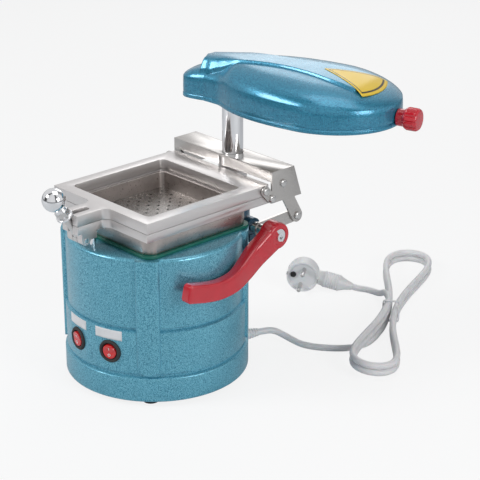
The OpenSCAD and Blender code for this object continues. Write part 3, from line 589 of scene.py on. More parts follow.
def solid(name: str, rings: Array, finish: Finish, body: Body,
          nodes: Sequence[str] = (), sharp: float = 35.0, looped: bool = False) -> Thing:
    """Makes a piece from its rings and settles it.

    Args:
        name: The piece's name.
        rings: Points in millimetres, as rings by sides by 3.
        finish: Its finish.
        body: The body that it rides on.
        nodes: CAD nodes that it replaces.
        sharp: Edges sharper than this many degrees stay sharp.
        looped: Whether the last ring joins the first.

    Returns:
        The new piece.
    """
    thing = make_object(name, rings, ring_faces(*rings.shape[:2], looped=looped), sharp)
    return settle(thing, finish, body, nodes)


def eased(node: str, body: Body, width: float) -> Thing:
    """Stands a copy of a CAD node in its place, with triangles joined and edges rounded.

    Args:
        node: The CAD node.
        body: The body that it rides on.
        width: Size of the rounding in millimetres.

    Returns:
        The new piece.
    """
    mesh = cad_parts[node].data.copy()
    work = bmesh.new()
    work.from_mesh(mesh)
    bmesh.ops.remove_doubles(work, verts=work.verts, dist=2e-6)
    bmesh.ops.dissolve_limit(work, angle_limit=math.radians(0.6), verts=work.verts,
                             edges=work.edges)
    for face in work.faces:
        face.smooth = True
    work.to_mesh(mesh)
    work.free()
    thing = in_scene("eased_" + node, mesh)
    rounding = thing.modifiers.new("rounding", "BEVEL")
    rounding.width = width * MM
    rounding.segments = 3
    rounding.limit_method = "ANGLE"
    rounding.angle_limit = math.radians(40)
    rounding.use_clamp_overlap = True
    rounding.harden_normals = True
    return settle(thing, NODE_FINISHES[node], body, [node])


# Sub-assemblies

@dataclass
class Studio:
    """Camera, floor and soft studio light."""

    eye: Triple = (1.16213, -0.96161, 0.75797)
    ahead: Triple = (-0.67797, 0.62976, -0.37917)
    above: Triple = (-0.27781, 0.25805, 0.92533)
    lens: float = 120.0
    middle: Triple = (0.0, 0.02, 0.16)
    room_tone: Colour = (0.92, 0.95, 1.0)
    room_light: float = 0.2
    mirror_light: float = 0.8
    floor_edge: float = 20000.0
    floor_glow: float = 0.84
    panels: Sequence[tuple[float, float]] = (
        (0.0, 0.92), (0.10, 0.92), (0.13, 0.10), (0.19, 0.06), (0.22, 0.85), (0.34, 1.0),
        (0.43, 0.95), (0.455, 0.12), (0.49, 0.12), (0.52, 0.9), (0.66, 1.0), (0.70, 0.35),
        (0.76, 0.35), (0.80, 0.95), (1.0, 0.92))

    def camera(self) -> None:
        """Places the camera: its -Z axis looks ahead, and its Y axis is above."""
        data = bpy.data.cameras.new("camera")
        data.lens = self.lens
        data.sensor_width = 36.0
        data.clip_end = 50.0
        thing = in_scene("camera", data)
        back, up = -Vector(self.ahead).normalized(), Vector(self.above).normalized()
        turn = Matrix((up.cross(back), up, back)).transposed().to_4x4()
        thing.matrix_world = Matrix.Translation(self.eye) @ turn
        bpy.context.scene.camera = thing

    def lights(self) -> None:
        """A key lamp from the left, a fill from the right, a top lamp and a back lamp."""
        for name, place, size, power in (
                ("key", (-0.75, -1.35, 1.25), 0.6, 15.0), ("fill", (1.6, 0.1, 0.75), 0.7, 10.0),
                ("top", (0.1, 0.2, 1.7), 1.0, 5.0), ("rim", (-0.9, 1.3, 1.0), 0.8, 3.0)):
            data = bpy.data.lights.new(name, "AREA")
            data.size = size
            data.energy = power
            thing = in_scene(name, data)
            thing.location = place
            aim = Vector(self.middle) - Vector(place)
            thing.rotation_euler = aim.to_track_quat("-Z", "Y").to_euler()

    def world(self) -> None:
        """A pale room: white to the camera, softer to the object, with dark panels that polished
        metal reflects at three directions round the horizon."""
        world = bpy.data.worlds.new("room")
        world.use_nodes = True
        graph = Graph(world.node_tree)
        graph.tree.nodes.clear()
        rays = graph.node("LightPath").outputs
        way = graph.node("TexCoord").outputs["Generated"]
        split = graph.node("SeparateXYZ", Vector=way).outputs
        turn = graph.math("ARCTAN2", split["Y"], split["X"])
        share = graph.span(turn, 0.0, 1.0, -math.pi, math.pi)
        stops = [(position, (grey, grey, grey * 1.01)) for position, grey in self.panels]
        room, mirror, white = (
            graph.node("Background", Color=colour, Strength=strength).outputs[0]
            for colour, strength in ((self.room_tone, self.room_light),
                                     (graph.ramp(share, stops), self.mirror_light),
                                     ((1.0, 1.0, 1.0), 1.0)))
        shiny = graph.mix(rays["Is Glossy Ray"], room, mirror)
        seen = graph.mix(rays["Is Camera Ray"], shiny, white)
        graph.node("OutputWorld", Surface=seen)
        bpy.context.scene.world = world

    def floor(self) -> None:
        """A pale floor that keeps the object's shadow under a white that the camera adds."""
        corners = self.floor_edge * np.array([[-1, -1, 0], [1, -1, 0], [1, 1, 0], [-1, 1, 0]])
        thing = make_object("floor", corners, [np.array([[0, 1, 2, 3]])], closed=False)
        nodes = Nodes("floor_paper")
        nodes.shade(Base_Color=(0.86, 0.87, 0.88), Roughness=0.9, Specular_IOR_Level=0.0)
        glow = nodes.node("Emission", Color=(1.0, 1.0, 1.0), Strength=1.0).outputs[0]
        seen = nodes.node("LightPath").outputs["Is Camera Ray"]
        share = nodes.math("MULTIPLY", seen, self.floor_glow)
        surface = nodes.tree.nodes["Material Output"].inputs["Surface"]
        nodes.feed(surface, nodes.mix(share, nodes.shader.outputs[0], glow))
        thing.data.materials.append(nodes.material)

    def build(self) -> None:
        """Makes the camera, then the light, then the floor."""
        bpy.context.scene.view_settings.view_transform = "Standard"
        self.camera()
        self.world()
        self.lights()
        self.floor()


@dataclass
class MainsCord:
    """The mains lead: a stretch from the gland, a flat hank tied at its waist, and a tail to the
    plug."""

    radius: float = 3.5
    waist: tuple[float, float] = (95.0, 258.0)
    hank_turn: float = 124.0
    back_reach: float = 175.0
    front_reach: float = 148.0
    back_bulge: float = 57.5
    front_bulge: float = 52.0
    waist_half: float = 4.4
    layer: float = 7.7
    tie_lift: float = 1.4
    climb_from: float = 200.0
    climb_turn: float = 90.0
    loops: int = 2
    gland_turn: float = 70.0
    gland_foot: float = 95.0
    gland_length: float = 20.0
    gland_height: float = 16.0
    plug_at: Triple = (-35.0, 251.0, 19.0)
    plug_turn: float = 38.0
    plug_tilt: float = 13.0
    plug_radius: float = 18.5
    plug_thickness: float = 24.0
    relief_length: float = 40.0

    def hank(self, degrees: Array) -> Array:
        """Middle of the hank's tube: along the run it is reach * sin(a), across it -cos(a) times
        the waist's half width plus bulge * sin(a)^2, and it climbs one layer late in a loop."""
        a = np.radians(degrees)
        s, c = np.sin(a), np.cos(a)
        along = s * np.where(s > 0, self.back_reach, self.front_reach)
        bulge = np.where(s > 0, self.back_bulge, self.front_bulge)
        across = -c * (self.waist_half + bulge * s * s)
        turns = np.floor(degrees / 360 + 1e-9)
        climb = smooth((degrees - 360 * turns - self.climb_from) / self.climb_turn)
        up = self.radius + self.tie_lift * c * c + self.layer * (turns + climb)
        ahead = heading(self.hank_turn)
        side = heading(self.hank_turn - 90)
        middle = np.array([*self.waist, 0.0])
        return (middle + along[:, None] * ahead + across[:, None] * side
                + up[:, None] * np.array([0, 0, 1.0]))

    def relief_axis(self) -> Array:
        """Direction from the plug's middle along its relief."""
        tilt = math.radians(self.plug_tilt)
        return heading(self.plug_turn) * math.cos(tilt) - np.array([0, 0, math.sin(tilt)])

    def route(self) -> Array:
        """The cord's points, from the gland's tip to the plug's relief, as in the CAD source."""
        out = heading(self.gland_turn)
        tip = (self.gland_foot + self.gland_length) * out + np.array([0, 0, self.gland_height])
        width = 2 * self.radius
        lead = [[44.7, 121.4, 15.6], [49, 127, 13.5], [55.5, 131.5, 10], [64, 135, 6.8],
                [74, 138, 4.5], [83, 142, 3.8], [92, 147, 3.8], [100, 153, 3.8],
                [107.5, 160, 3.8], [114, 168, 3.8], [118.5, 177.5, 3.8], [120.5, 188, 3.9],
                [119.5, 198.5, 4.1], [116.5, 209, 4.4], [112.5, 219, 4.7], [108, 229, 4.9],
                [102.5, 238.5, 4.9]]
        tail = [[82, 268.3, 20.3], [78, 271.7, 20.3], [74, 274.4, 20.2], [70, 277, 19.8],
                [66, 279.6, 18.7], [61.5, 282.6, 16.5], [56, 286.2, 13], [51, 289.6, 10],
                [45, 293, 7], [38, 295.6, 5], [30.5, 296.5, 4], [22.5, 295, 3.8]]
        ahead, axis = heading(self.hank_turn), self.relief_axis()
        loops = self.hank(np.arange(0, 360 * self.loops + 1, 7.5))
        relief = np.array(self.plug_at) + (self.plug_radius + self.relief_length) * axis
        parts = [tip, tip + width * out, lead, loops[0] - 2 * width * ahead, loops,
                 loops[-1] + 1.5 * width * ahead, tail, relief + width * axis, relief]
        return np.concatenate([np.array(part, float).reshape(-1, 3) for part in parts])

    def in_plug(self, points: Array) -> Array:
        """Moves points from the plug's own axes, +X along its relief and pins at -Y, to place."""
        x, y = self.relief_axis(), heading(self.plug_turn + 90)
        return points @ np.stack([x, y, np.cross(x, y)]) + np.array(self.plug_at)

    @staticmethod
    def ribbed(start: float, stop: float, first: float, last: float, ribs: int) -> Array:
        """Profile of a tapered relief whose radius dips between its ribs."""
        t = np.linspace(0, 1, 12 * ribs + 1)
        dip = np.clip(np.cos(t * ribs * 2 * math.pi) * 3, -1, 1) * 0.225 - 0.22
        return np.stack([first + (last - first) * t + dip, start + (stop - start) * t], axis=1)

    def plug(self) -> list[Thing]:
        """The plug's disc and its relief, with rounded rims, side clips and an earth socket."""
        half, r = self.plug_thickness / 2, self.plug_radius
        disc = rounded_profile([(ON_AXIS, -half + 1.2, 0), (r - 3.2, -half + 1.2, 0.6),
                                (r - 2.6, -half, 0.6), (r, -half, 1.6), (r, half - 6, 3),
                                (r - 5, half, 4), (ON_AXIS, half, 0)], 6)
        pieces = [solid("plug_disc", self.in_plug(stand(lathe(disc, 72), ORIGIN, Y_AXIS)),
                        WHITE_JACKET, Body.ROOT, ["plug_body"])]
        end = r + self.relief_length
        neck = rounded_profile([(ON_AXIS, 8, 0), (8.0, 8, 0), (8.2, r + 4, 2), (9.6, r + 7, 2)], 4)
        tip = rounded_profile([(9.4, r + 24, 1), (6.2, r + 31, 3),
                               (self.radius + 0.7, end - 1, 0.6),
                               (self.radius + 0.3, end, 0.3), (ON_AXIS, end, 0)], 5)
        profile = np.concatenate([neck, self.ribbed(r + 7.5, r + 23.5, 9.5, 9.5, 6), tip])
        pieces.append(solid("plug_relief", self.in_plug(stand(lathe(profile, 48), ORIGIN, X_AXIS)),
                            WHITE_JACKET, Body.ROOT, sharp=50))
        for name, side in (("plug_clip_outer", -1.0), ("plug_clip_inner", 1.0)):
            bar = plate_rings(rounded_square(2.0, 4.6, 0.6), self.plug_thickness * 0.8, 0.3)
            bar = stand(bar, (side * (r - 0.6), -half - 0.2, 0), Y_AXIS, X_AXIS)
            pieces.append(solid(name, self.in_plug(bar), BRIGHT_STEEL, Body.ROOT))
        cup = rounded_profile([(ON_AXIS, 0.7, 0), (2.5, 0.7, 0.2), (2.6, 1.5, 0.2),
                               (3.3, 1.5, 0.3), (3.4, 0, 0)], 4)
        cup = stand(lathe(cup, 32), (-11, -half + 1.3, 0), (0, -1, 0))
        pieces.append(solid("plug_socket", self.in_plug(cup), BLACK_PLASTIC, Body.ROOT))
        return pieces

    def gland(self) -> None:
        """The ribbed relief on the housing's wall."""
        out, end = heading(self.gland_turn), self.gland_length
        head = rounded_profile([(5.4, -8, 0), (5.4, -0.4, 0), (8.5, -0.4, 0.2), (8.5, 3, 1.2),
                                (6.6, 3.2, 0.6)], 5)
        profile = np.concatenate([[[ON_AXIS, -8]], head, self.ribbed(3.6, end - 1.2, 6.4, 4.3, 5),
                                  [[4.1, end - 0.8], [3.9, end], [ON_AXIS, end]]])
        foot = self.gland_foot * out + np.array([0, 0, self.gland_height])
        solid("gland_relief", stand(lathe(profile, 48), foot, out), WHITE_JACKET, Body.ROOT,
              ["cord_gland"], 50)

    def build(self) -> None:
        line = dense_line(self.route(), 4)
        tube = solid("mains_cord", tube_rings(line, self.radius, 16), WHITE_JACKET, Body.ROOT,
                     ["cord_lead", "cord_hank", "cord_tail"], 60)
        pieces = self.plug()
        self.gland()


@dataclass(frozen=True)
class Spokes:
    """Lines from the hood's middle line to its outline: where each starts, and its vector."""

    start: Array
    reach: Array

    def u(self, share: Array | float) -> Array:
        """Distance from the post, along the hood, at a share of each spoke."""
        return self.start[:, 0] + self.reach[:, 0] * share


@dataclass
class Hood:
    """The heater hood: a cast shell that swings on the post, with its ridge, plate and knob.

    Its own axes have u along the hood from the post, v across it and z up from its rim.
    """

    post_y: float = 107.5
    rim_z: float = 269.0
    turn: float = 18.0
    middle: float = 110.5
    radius: float = 65.0
    front: float = 75.0
    height: float = 45.5
    wall: float = 4.0
    neck: float = 9.5
    tail_half: float = 28.6
    tail_flare: float = 0.27
    tail_end: float = 53.0
    tail_u: float = -22.0
    top_u: float = 50.0
    ridge_up: float = 2.6
    ridge_end: float = 150.0
    ridge_back: float = -28.0
    ridge_half: float = 14.0
    ridge_waist: float = 60.0
    flare_back: tuple[float, float] = (3.5, 60.0)
    flare_front: tuple[float, float] = (16.0, 85.0)
    crown_fall: float = 9.0
    crown_run: float = 110.0
    shoulder_from: float = 18.0
    shoulder_run: float = 24.0
    dome_power: float = 3.2
    skirt: float = 19.0
    step: float = 9.0
    dome_foot: float = 0.82
    plate_tip: tuple[float, float] = (103.5, 1.5)
    plate_reach: float = 63.5
    plate_half: float = 27.5
    knob_z: float = 8.6

    def place(self, points: Array) -> Array:
        """Turns points from the hood's own axes about the post and lifts them to its rim."""
        c, s, _ = heading(self.turn)
        turned = points @ np.array([[c, s, 0], [-s, c, 0], [0, 0, 1.0]])
        return turned + np.array([0, self.post_y, self.rim_z])

    def half_width(self, u: Array) -> Array:
        """Half width at u: the tenth-power mean of the tail's own half width, which flares with u,
        and of an ellipse that reaches from the neck to the middle."""
        share = (self.middle - u) / (self.middle + self.neck)
        e = self.radius * np.sqrt(np.clip(1 - share ** 2, 0, None))
        return ((self.tail_half + self.tail_flare * u) ** 10 + e ** 10) ** 0.1

    def spokes(self, front: int = 44, side: int = 64, tail: int = 34) -> Spokes:
        """Spokes round the front, along one side, round the tail and back along the other side.
        They lie closer together towards the neck, as the power 1.5 of their count."""
        a = np.linspace(0, math.pi / 2, front, endpoint=False)
        wide = float(self.half_width(np.array(self.middle)))
        bases = [0 * a + self.middle]
        reach = [np.stack([self.front * np.cos(a), wide * np.sin(a)], axis=1)]
        u = self.tail_u + (self.middle - self.tail_u) * (1 - np.arange(side) / side) ** 1.5
        bases.append(u)
        reach.append(np.stack([0 * u, self.half_width(u)], axis=1))
        a = np.linspace(math.pi / 2, math.pi, tail + 1)
        c, s = np.abs(np.cos(a)), np.clip(np.sin(a), 0, None)
        k, bow = (c ** 4 + s ** 4) ** -0.25, 0.92 + 0.08 * c ** 2
        tail_half = float(self.half_width(np.array(self.tail_u)))
        bases.append(0 * a + self.tail_u)
        long = -(self.tail_end + self.tail_u)
        reach.append(np.stack([long * bow * k * c, tail_half * k * s], axis=1))
        base = np.concatenate(bases)
        starts = np.stack([base, 0 * base], axis=1)
        one_side = np.concatenate([starts, np.concatenate(reach)], axis=1)
        both = np.concatenate([one_side, one_side[-2:0:-1] * np.array([1.0, 1.0, 1.0, -1.0])])
        return Spokes(both[:, :2], both[:, 2:])

    def crown(self, u: Array) -> Array:
        """Height of the middle line, which falls with the square of the distance from its top."""
        return self.height - self.crown_fall * ((u - self.top_u) / self.crown_run) ** 2

    def shoulder(self, u: Array) -> Array:
        """How far the shoulder beside the ridge has dropped: 0 at the round end, 1 at the tail."""
        return smooth((self.shoulder_from - u) / self.shoulder_run)

    def rise(self, top: Array, share: Array) -> Array:
        """Height at a share of the way out: skirt + (top - skirt) * sqrt(1 - share^power)."""
        left = np.clip(1 - share ** self.dome_power, 0, None)
        return self.skirt + (top - self.skirt) * np.sqrt(left)

    def dome(self, spokes: Spokes, share: Array, drop: Array | float = 0.0) -> Array:
        """Height of the dome at a share of each spoke."""
        return self.rise(self.crown(spokes.u(share)) - drop, share)

    def low_dome(self, spokes: Spokes, share: Array) -> Array:
        """The dome with its shoulder dropped towards the tail."""
        return self.dome(spokes, share, self.step * self.shoulder(spokes.u(share)))

    def ridge_share(self, spokes: Spokes) -> Array:
        """Share of each spoke at which the ridge ends: at its side line, whose half width is least
        at its waist, at its front line, or at its round back end."""
        u, first, (ahead, across) = spokes.u(0.3), spokes.start[:, 0], spokes.reach.T
        across = np.abs(across)
        (wide_back, run_back), (wide_front, run_front) = self.flare_back, self.flare_front
        half = (self.ridge_half
                + wide_back * (np.clip(self.ridge_waist - u, 0, None) / run_back) ** 2
                + wide_front * (np.clip(u - self.ridge_waist, 0, None) / run_front) ** 1.6)
        side = np.where(across < 0.01, 9, half / np.maximum(across, 0.01))
        front = np.where(ahead > 0.01, (self.ridge_end - first) / np.maximum(ahead, 0.01), 9)
        end = self.ridge_back - 5 * np.clip(1 - across / 24, 0, None) ** 1.5
        back = np.where(ahead < -0.01, (end - first) / np.minimum(ahead, -0.01), 9)
        return np.minimum(np.minimum(side, front), np.minimum(back, 0.8))

    def wall_rings(self, spokes: Spokes) -> Iterator[tuple[Array, Array]]:
        """Shares and heights of the rings under the dome, round the rim bead and up the skirt to
        the dome's foot."""
        one = np.ones(len(spokes.start))
        for part in (0.5, 0.7, 0.82, 0.9):
            yield one * part, self.low_dome(spokes, one * part) - self.wall
        for part, z in ((0.93, 16.0), (0.93, 5.0), (0.965, 5.0), (0.965, 0.4), (0.97, 0.0),
                        (0.992, 0.0), (1.0, 0.6), (1.0, 3.2), (0.996, 3.7), (0.986, 3.9),
                        (0.9815, 4.4), (0.982, 4.9), (0.9885, 5.6), (0.9895, 9.0),
                        (0.9885, 13.0), (0.9865, 17.0)):
            yield one * part, one * z
        for a in np.linspace(0.06, 1, 15)[:-1]:
            share = one * (0.984 - 0.164 * a ** 1.35)
            yield share, self.low_dome(spokes, share)

    def ridge_rings(self, spokes: Spokes) -> Iterator[tuple[Array, Array]]:
        """Shares and heights of the rings from the dome's foot to the ridge, up its side and over
        its top. The side is a soft rise at the round end and a round-edged cut at the tail."""
        edge = self.ridge_share(spokes)
        length = np.linalg.norm(spokes.reach, axis=1)
        foot = edge + 1.3 / length
        for blend in (0.08, 0.2, 0.35, 0.5, 0.65, 0.8, 0.92):
            share = self.dome_foot + (foot - self.dome_foot) * blend
            yield share, self.low_dome(spokes, share)
        fallen = self.shoulder(spokes.u(edge))
        room = np.minimum(1, 0.6 * edge * length / 7.5)
        for q in np.linspace(0, 1, 15):
            near, far = min(q / 0.4, 1), max(0.0, (q - 0.4) / 0.6)
            soft_in, soft_up = 2.2 * q, float(smooth(q))
            cut_in = 1.2 * near + 6.3 * far
            cut_up = 0.5 * float(smooth(near)) + 0.5 * math.sin(far * math.pi / 2) ** 1.2
            share = foot - (soft_in + (cut_in - soft_in) * fallen) * room / length
            up = soft_up + (cut_up - soft_up) * fallen
            low, high = self.low_dome(spokes, share), self.dome(spokes, share) + self.ridge_up
            yield share, low + (high - low) * up
        for part in (0.96, 0.85, 0.68, 0.5, 0.34, 0.2, 0.1):
            yield share * part, self.dome(spokes, share * part) + self.ridge_up

    def shell(self) -> None:
        """The casting, inside and outside, as one closed surface of rings on the spokes."""
        spokes = self.spokes()
        rings = np.array([np.column_stack([spokes.start + spokes.reach * share[:, None], z])
                          for share, z in (*self.wall_rings(spokes), *self.ridge_rings(spokes))])
        faces = self.capped(*rings.shape[:2])
        thing = make_object("hood_casting", self.place(rings), faces, 60)
        settle(thing, HOOD_BLUE, Body.HOOD, ["hood_shell"])

    @staticmethod
    def capped(rings: int, sides: int) -> list[Array]:
        """Ring faces whose two ends are closed by strips across, from point i to sides - i."""
        i = np.arange(1, sides // 2 - 1)
        strip = np.stack([i, i + 1, sides - i - 1, sides - i], axis=1)
        ends = np.array([[0, 1, sides - 1], [sides // 2, sides // 2 + 1, sides // 2 - 1]])
        last = (rings - 1) * sides
        return [*ring_faces(rings, sides, capped=False), strip[:, ::-1], ends[:, ::-1],
                last + strip, last + ends]

    def plate(self) -> None:
        """The bare yellow plate: a fan that opens towards the front, laid on the ridge. Its UV map
        holds the distances to the nearest side and, at six tenths, to the arc, in units of 20 mm.
        """
        s, t = np.meshgrid(np.linspace(0, 1, 60), np.linspace(-1, 1, 49), indexing="ij")
        half, (apex, tip) = math.radians(self.plate_half), self.plate_tip
        length = tip + (self.plate_reach - tip) * s
        u, v = apex + length * np.cos(t * half), length * np.sin(t * half)
        behind = np.abs(v) / self.half_width(np.minimum(u, self.middle))
        before = np.hypot((u - self.middle) / self.front, v / self.radius)
        top = self.rise(self.crown(u), np.where(u < self.middle, behind, before))
        under = smooth((self.ridge_end + 20 - u) / 20)
        grid = np.stack([u, v, top + self.ridge_up * under + 0.45], axis=-1)
        thing = thin_plate("yellow_fan_plate", self.place(grid), (0, 0, 1))
        layer = thing.data.uv_layers.new(name="plate")
        index = np.zeros(len(thing.data.loops), np.int32)
        thing.data.loops.foreach_get("vertex_index", index)
        to_side, to_arc = length * np.sin(half * (1 - np.abs(t))), 0.6 * (self.plate_reach - length)
        flat = np.stack([to_side, to_arc], axis=-1).reshape(-1, 2) / 20
        layer.data.foreach_set("uv", flat[index].astype(np.float32).ravel())
        settle(thing, YELLOW_PLATE, Body.HOOD)

    def knob(self) -> None:
        """The red knob: a collar and a fluted head, whose radius dips twelve times round."""
        profile = rounded_profile(
            [(ON_AXIS, -1.0, 0), (4.0, -1.0, 0.2), (4.0, 0.1, 0.2), (8.7, 0.1, 0.5),
             (8.7, 7.5, 0.9), (10.2, 8.3, 0.8), (11.4, 10.4, 0.9), (11.4, 20.4, 1.5),
             (9.8, 22.45, 1.2), (ON_AXIS, 22.4, 0)], 6)
        radius, height, sides = profile[:, 0], profile[:, 1], 144
        rings = lathe(profile, sides)
        turn = np.linspace(0, 2 * math.pi, sides, endpoint=False)
        dip = 1.2 * np.clip(np.cos(12 * turn), 0, 1) ** 1.5
        zone = np.clip((height - 8.6) / 1.5, 0, 1) * np.clip(21.9 - height, 0, 1)
        near_rim = np.clip(radius / 8.0 - 0.2, 0, 1)
        rings[..., :2] *= (1 - (zone * near_rim)[:, None] * dip / 11)[..., None]
        base = self.middle + self.front + 0.02
        rings = self.place(stand(rings, (base, 0, self.knob_z), X_AXIS))
        solid("hood_pull_knob", rings, RED_LACQUER, Body.HOOD, ["hood_knob"], 40)

    def build(self) -> None:
        """Makes the shell, the plate and the knob."""
        self.shell()
        self.plate()
        self.knob()


@dataclass
class LiftLever:
    """The red lever: a cranked bar with rounded edges and a round boss on the shaft."""

    shaft_y: float = 80.0
    shaft_z: float = 152.0
    inner_x: float = 83.4
    thickness: float = 16.0
    arm_x: float = 94.2
    arm_thickness: float = 12.5
    tip_length: float = 4.2

    def bar(self) -> None:
        """Sweeps a rounded rectangle along the bent middle line. Each knot has the line's y and z,
        the half width, the inner face's x and the thickness. The tip shrinks as an ellipse."""
        near, thin = (self.inner_x, self.thickness), (self.arm_x, self.arm_thickness)
        knots = np.array([[0, 0, 12.8, *near], [-14, -7.8, 11.9, *near],
                          [-28, -15.6, 11.2, *near], [-46, -23.7, 10.4, 88.9, 14.2],
                          [-63.8, -29.4, 9.9, *thin], [-82.8, -32.0, 9.6, *thin],
                          [-102, -29.6, 9.5, *thin], [-122.4, -24.8, 9.4, *thin]])
        middle = dense_line(knots[:, :3], 10)
        depth = dense_line(np.column_stack([knots[:, 3:], 0 * knots[:, 0]]), 10)
        ahead = np.gradient(middle[:, :2], axis=0)
        ahead /= np.linalg.norm(ahead, axis=1, keepdims=True)
        tip = np.linspace(0, math.pi / 2, 9)[1:]
        ends = middle[-1, :2] + ahead[-1] * (self.tip_length * np.sin(tip))[:, None]
        centre = np.concatenate([middle[:, :2], ends])
        draw = np.concatenate([np.ones(len(middle)), 1 - 0.36 * (1 - np.cos(tip))])
        draw[-1] = 0.6
        rows = np.column_stack([-ahead[:, 1], ahead[:, 0], middle[:, 2], depth[:, :2]])
        across_y, across_z, half, inner, thick = np.pad(rows, ((0, len(tip)), (0, 0)), "edge").T
        loop = rounded_square(2.0, 2.0, 0.34, 7)
        width = loop[:, 0] * (half * draw)[:, None]
        x = (inner + thick / 2)[:, None] + loop[:, 1] * (thick / 2 * draw)[:, None]
        y = self.shaft_y + centre[:, :1] + across_y[:, None] * width
        z = self.shaft_z + centre[:, 1:] + across_z[:, None] * width
        solid("lever_bar", np.stack([x, y, z], axis=-1), RED_LACQUER, Body.LEVER,
              ["lever_handle"], 50)

    def boss(self) -> None:
        """The boss, a little thicker than the bar, with a sunk seat for the screw."""
        r, t = 14.0, self.thickness
        profile = rounded_profile([(ON_AXIS, -0.2, 0), (r - 0.5, -0.2, 1.5), (r, 0.6, 1.0),
                                   (r, t, 4.5), (8.5, t + 0.3, 0.8), (8.1, t - 0.9, 0.3),
                                   (ON_AXIS, t - 0.9, 0)], 8)
        foot = (self.inner_x, self.shaft_y, self.shaft_z)
        solid("lever_boss", stand(lathe(profile, 80), foot, X_AXIS), RED_LACQUER, Body.LEVER,
              sharp=40)

    def build(self) -> None:
        """Makes the bar and the boss."""
        self.bar()
        self.boss()


@dataclass
class SwingClamp:
    """The clamp's chrome ball with its neck, nut and collar on the swing bolt."""

    pivot: Triple = (0.0, -96.0, 170.3)
    lean: float = 31.0
    grip: float = 29.84
    ball: float = 11.75
    ball_up: float = 23.8
    nut: float = 7.2

    def build(self) -> None:
        """Turns the collar, neck and ball in one profile, and adds a chamfered hexagon nut."""
        lean = math.radians(self.lean)
        up = (0.0, -math.sin(lean), math.cos(lean))
        g, b, centre = self.grip, self.ball, self.grip + self.ball_up
        a = np.linspace(-math.pi / 2 + 0.42, math.pi / 2 - 0.02, 22)
        sphere = np.stack([b * np.cos(a), centre + b * np.sin(a)], axis=1)
        stem = rounded_profile([(3.56, g, 0), (8.5, g, 0.5), (8.5, g + 2.5, 0.5),
                                (6.4, g + 2.6, 0.2), (6.0, g + 9.6, 0.2), (5.6, g + 10.2, 0.6),
                                (5.2, g + 12.6, 1.0)], 4)
        profile = np.concatenate([[[ON_AXIS, g + 0.5]], stem, sphere, [[ON_AXIS, centre + b]]])
        solid("clamp_ball", stand(lathe(profile, 72), self.pivot, up, X_AXIS), CHROME, Body.KNOB,
              ["ball_knob"], 40)
        radius = self.nut * np.array([0.86, 0.97, 1.0, 1.0, 0.97, 0.86])
        height = np.array([0.0, 0.35, 0.9, 6.1, 6.65, 7.0]) + g + 2.5
        rings = lathe(np.stack([radius, height], axis=1), 6)
        solid("clamp_nut", stand(rings, self.pivot, up, X_AXIS), BRIGHT_STEEL, Body.KNOB,
              sharp=15)


@dataclass
class FrameTrim:
    """The upper frame's rear edge, and domed heads over the pivots' and rivets' flat heads."""

    flange_out: float = 75.4
    flange_wall: float = 1.5
    lip_z: tuple[float, float] = (195.2, 198.06)
    lip_y: tuple[float, float] = (81.0, 90.4)
    lip_half: float = 72.6

    def lip(self) -> None:
        """The upper frame's rear edge, a flat plate that reaches back towards the bracket."""
        (low, high), (front, back) = self.lip_z, self.lip_y
        outline = rounded_square(2 * self.lip_half, back - front, 1.5)
        rings = plate_rings(outline + np.array([0, (front + back) / 2]), high - low, 0.6)
        rings[..., 2] += low
        solid("upper_frame_lip", rings, CAST_SILVER, Body.TOP_FRAME, sharp=12)

    def head(self, name: str, foot: Triple, radius: float, rise: float, body: Body) -> None:
        """One dome on each side: its height is rise * cos(a) at radius * sin(a)."""
        a = np.linspace(math.pi / 2, 0.02, 8)
        dome = np.stack([radius * np.sin(a), rise * np.cos(a)], axis=1)
        rings = lathe(np.concatenate([[[ON_AXIS, -0.3], [radius, -0.3]], dome]), 32)
        x, y, z = foot
        for side, tag in ((1.0, "right"), (-1.0, "left")):
            solid(f"{name}_{tag}", stand(rings, (side * x, y, z), (side, 0, 0)), BRIGHT_STEEL,
                  body, sharp=50)

    def build(self) -> None:
        """Adds the lip, and caps the hinge and the rivets of the frame, link and crank."""
        self.lip()
        out = self.flange_out + self.flange_wall
        self.head("hinge_cap", (out, 83.5, 192.7), 4.0, 1.0, Body.CARRIER)
        self.head("frame_cap", (out, 92.5, 182.6), 4.0, 1.0, Body.CARRIER)
        self.head("link_cap", (out, 107.5, 196.1), 4.2, 1.2, Body.CARRIER)
        self.head("crank_cap", (74.8, 130.96, 153.96), 4.2, 1.2, Body.LEVER)


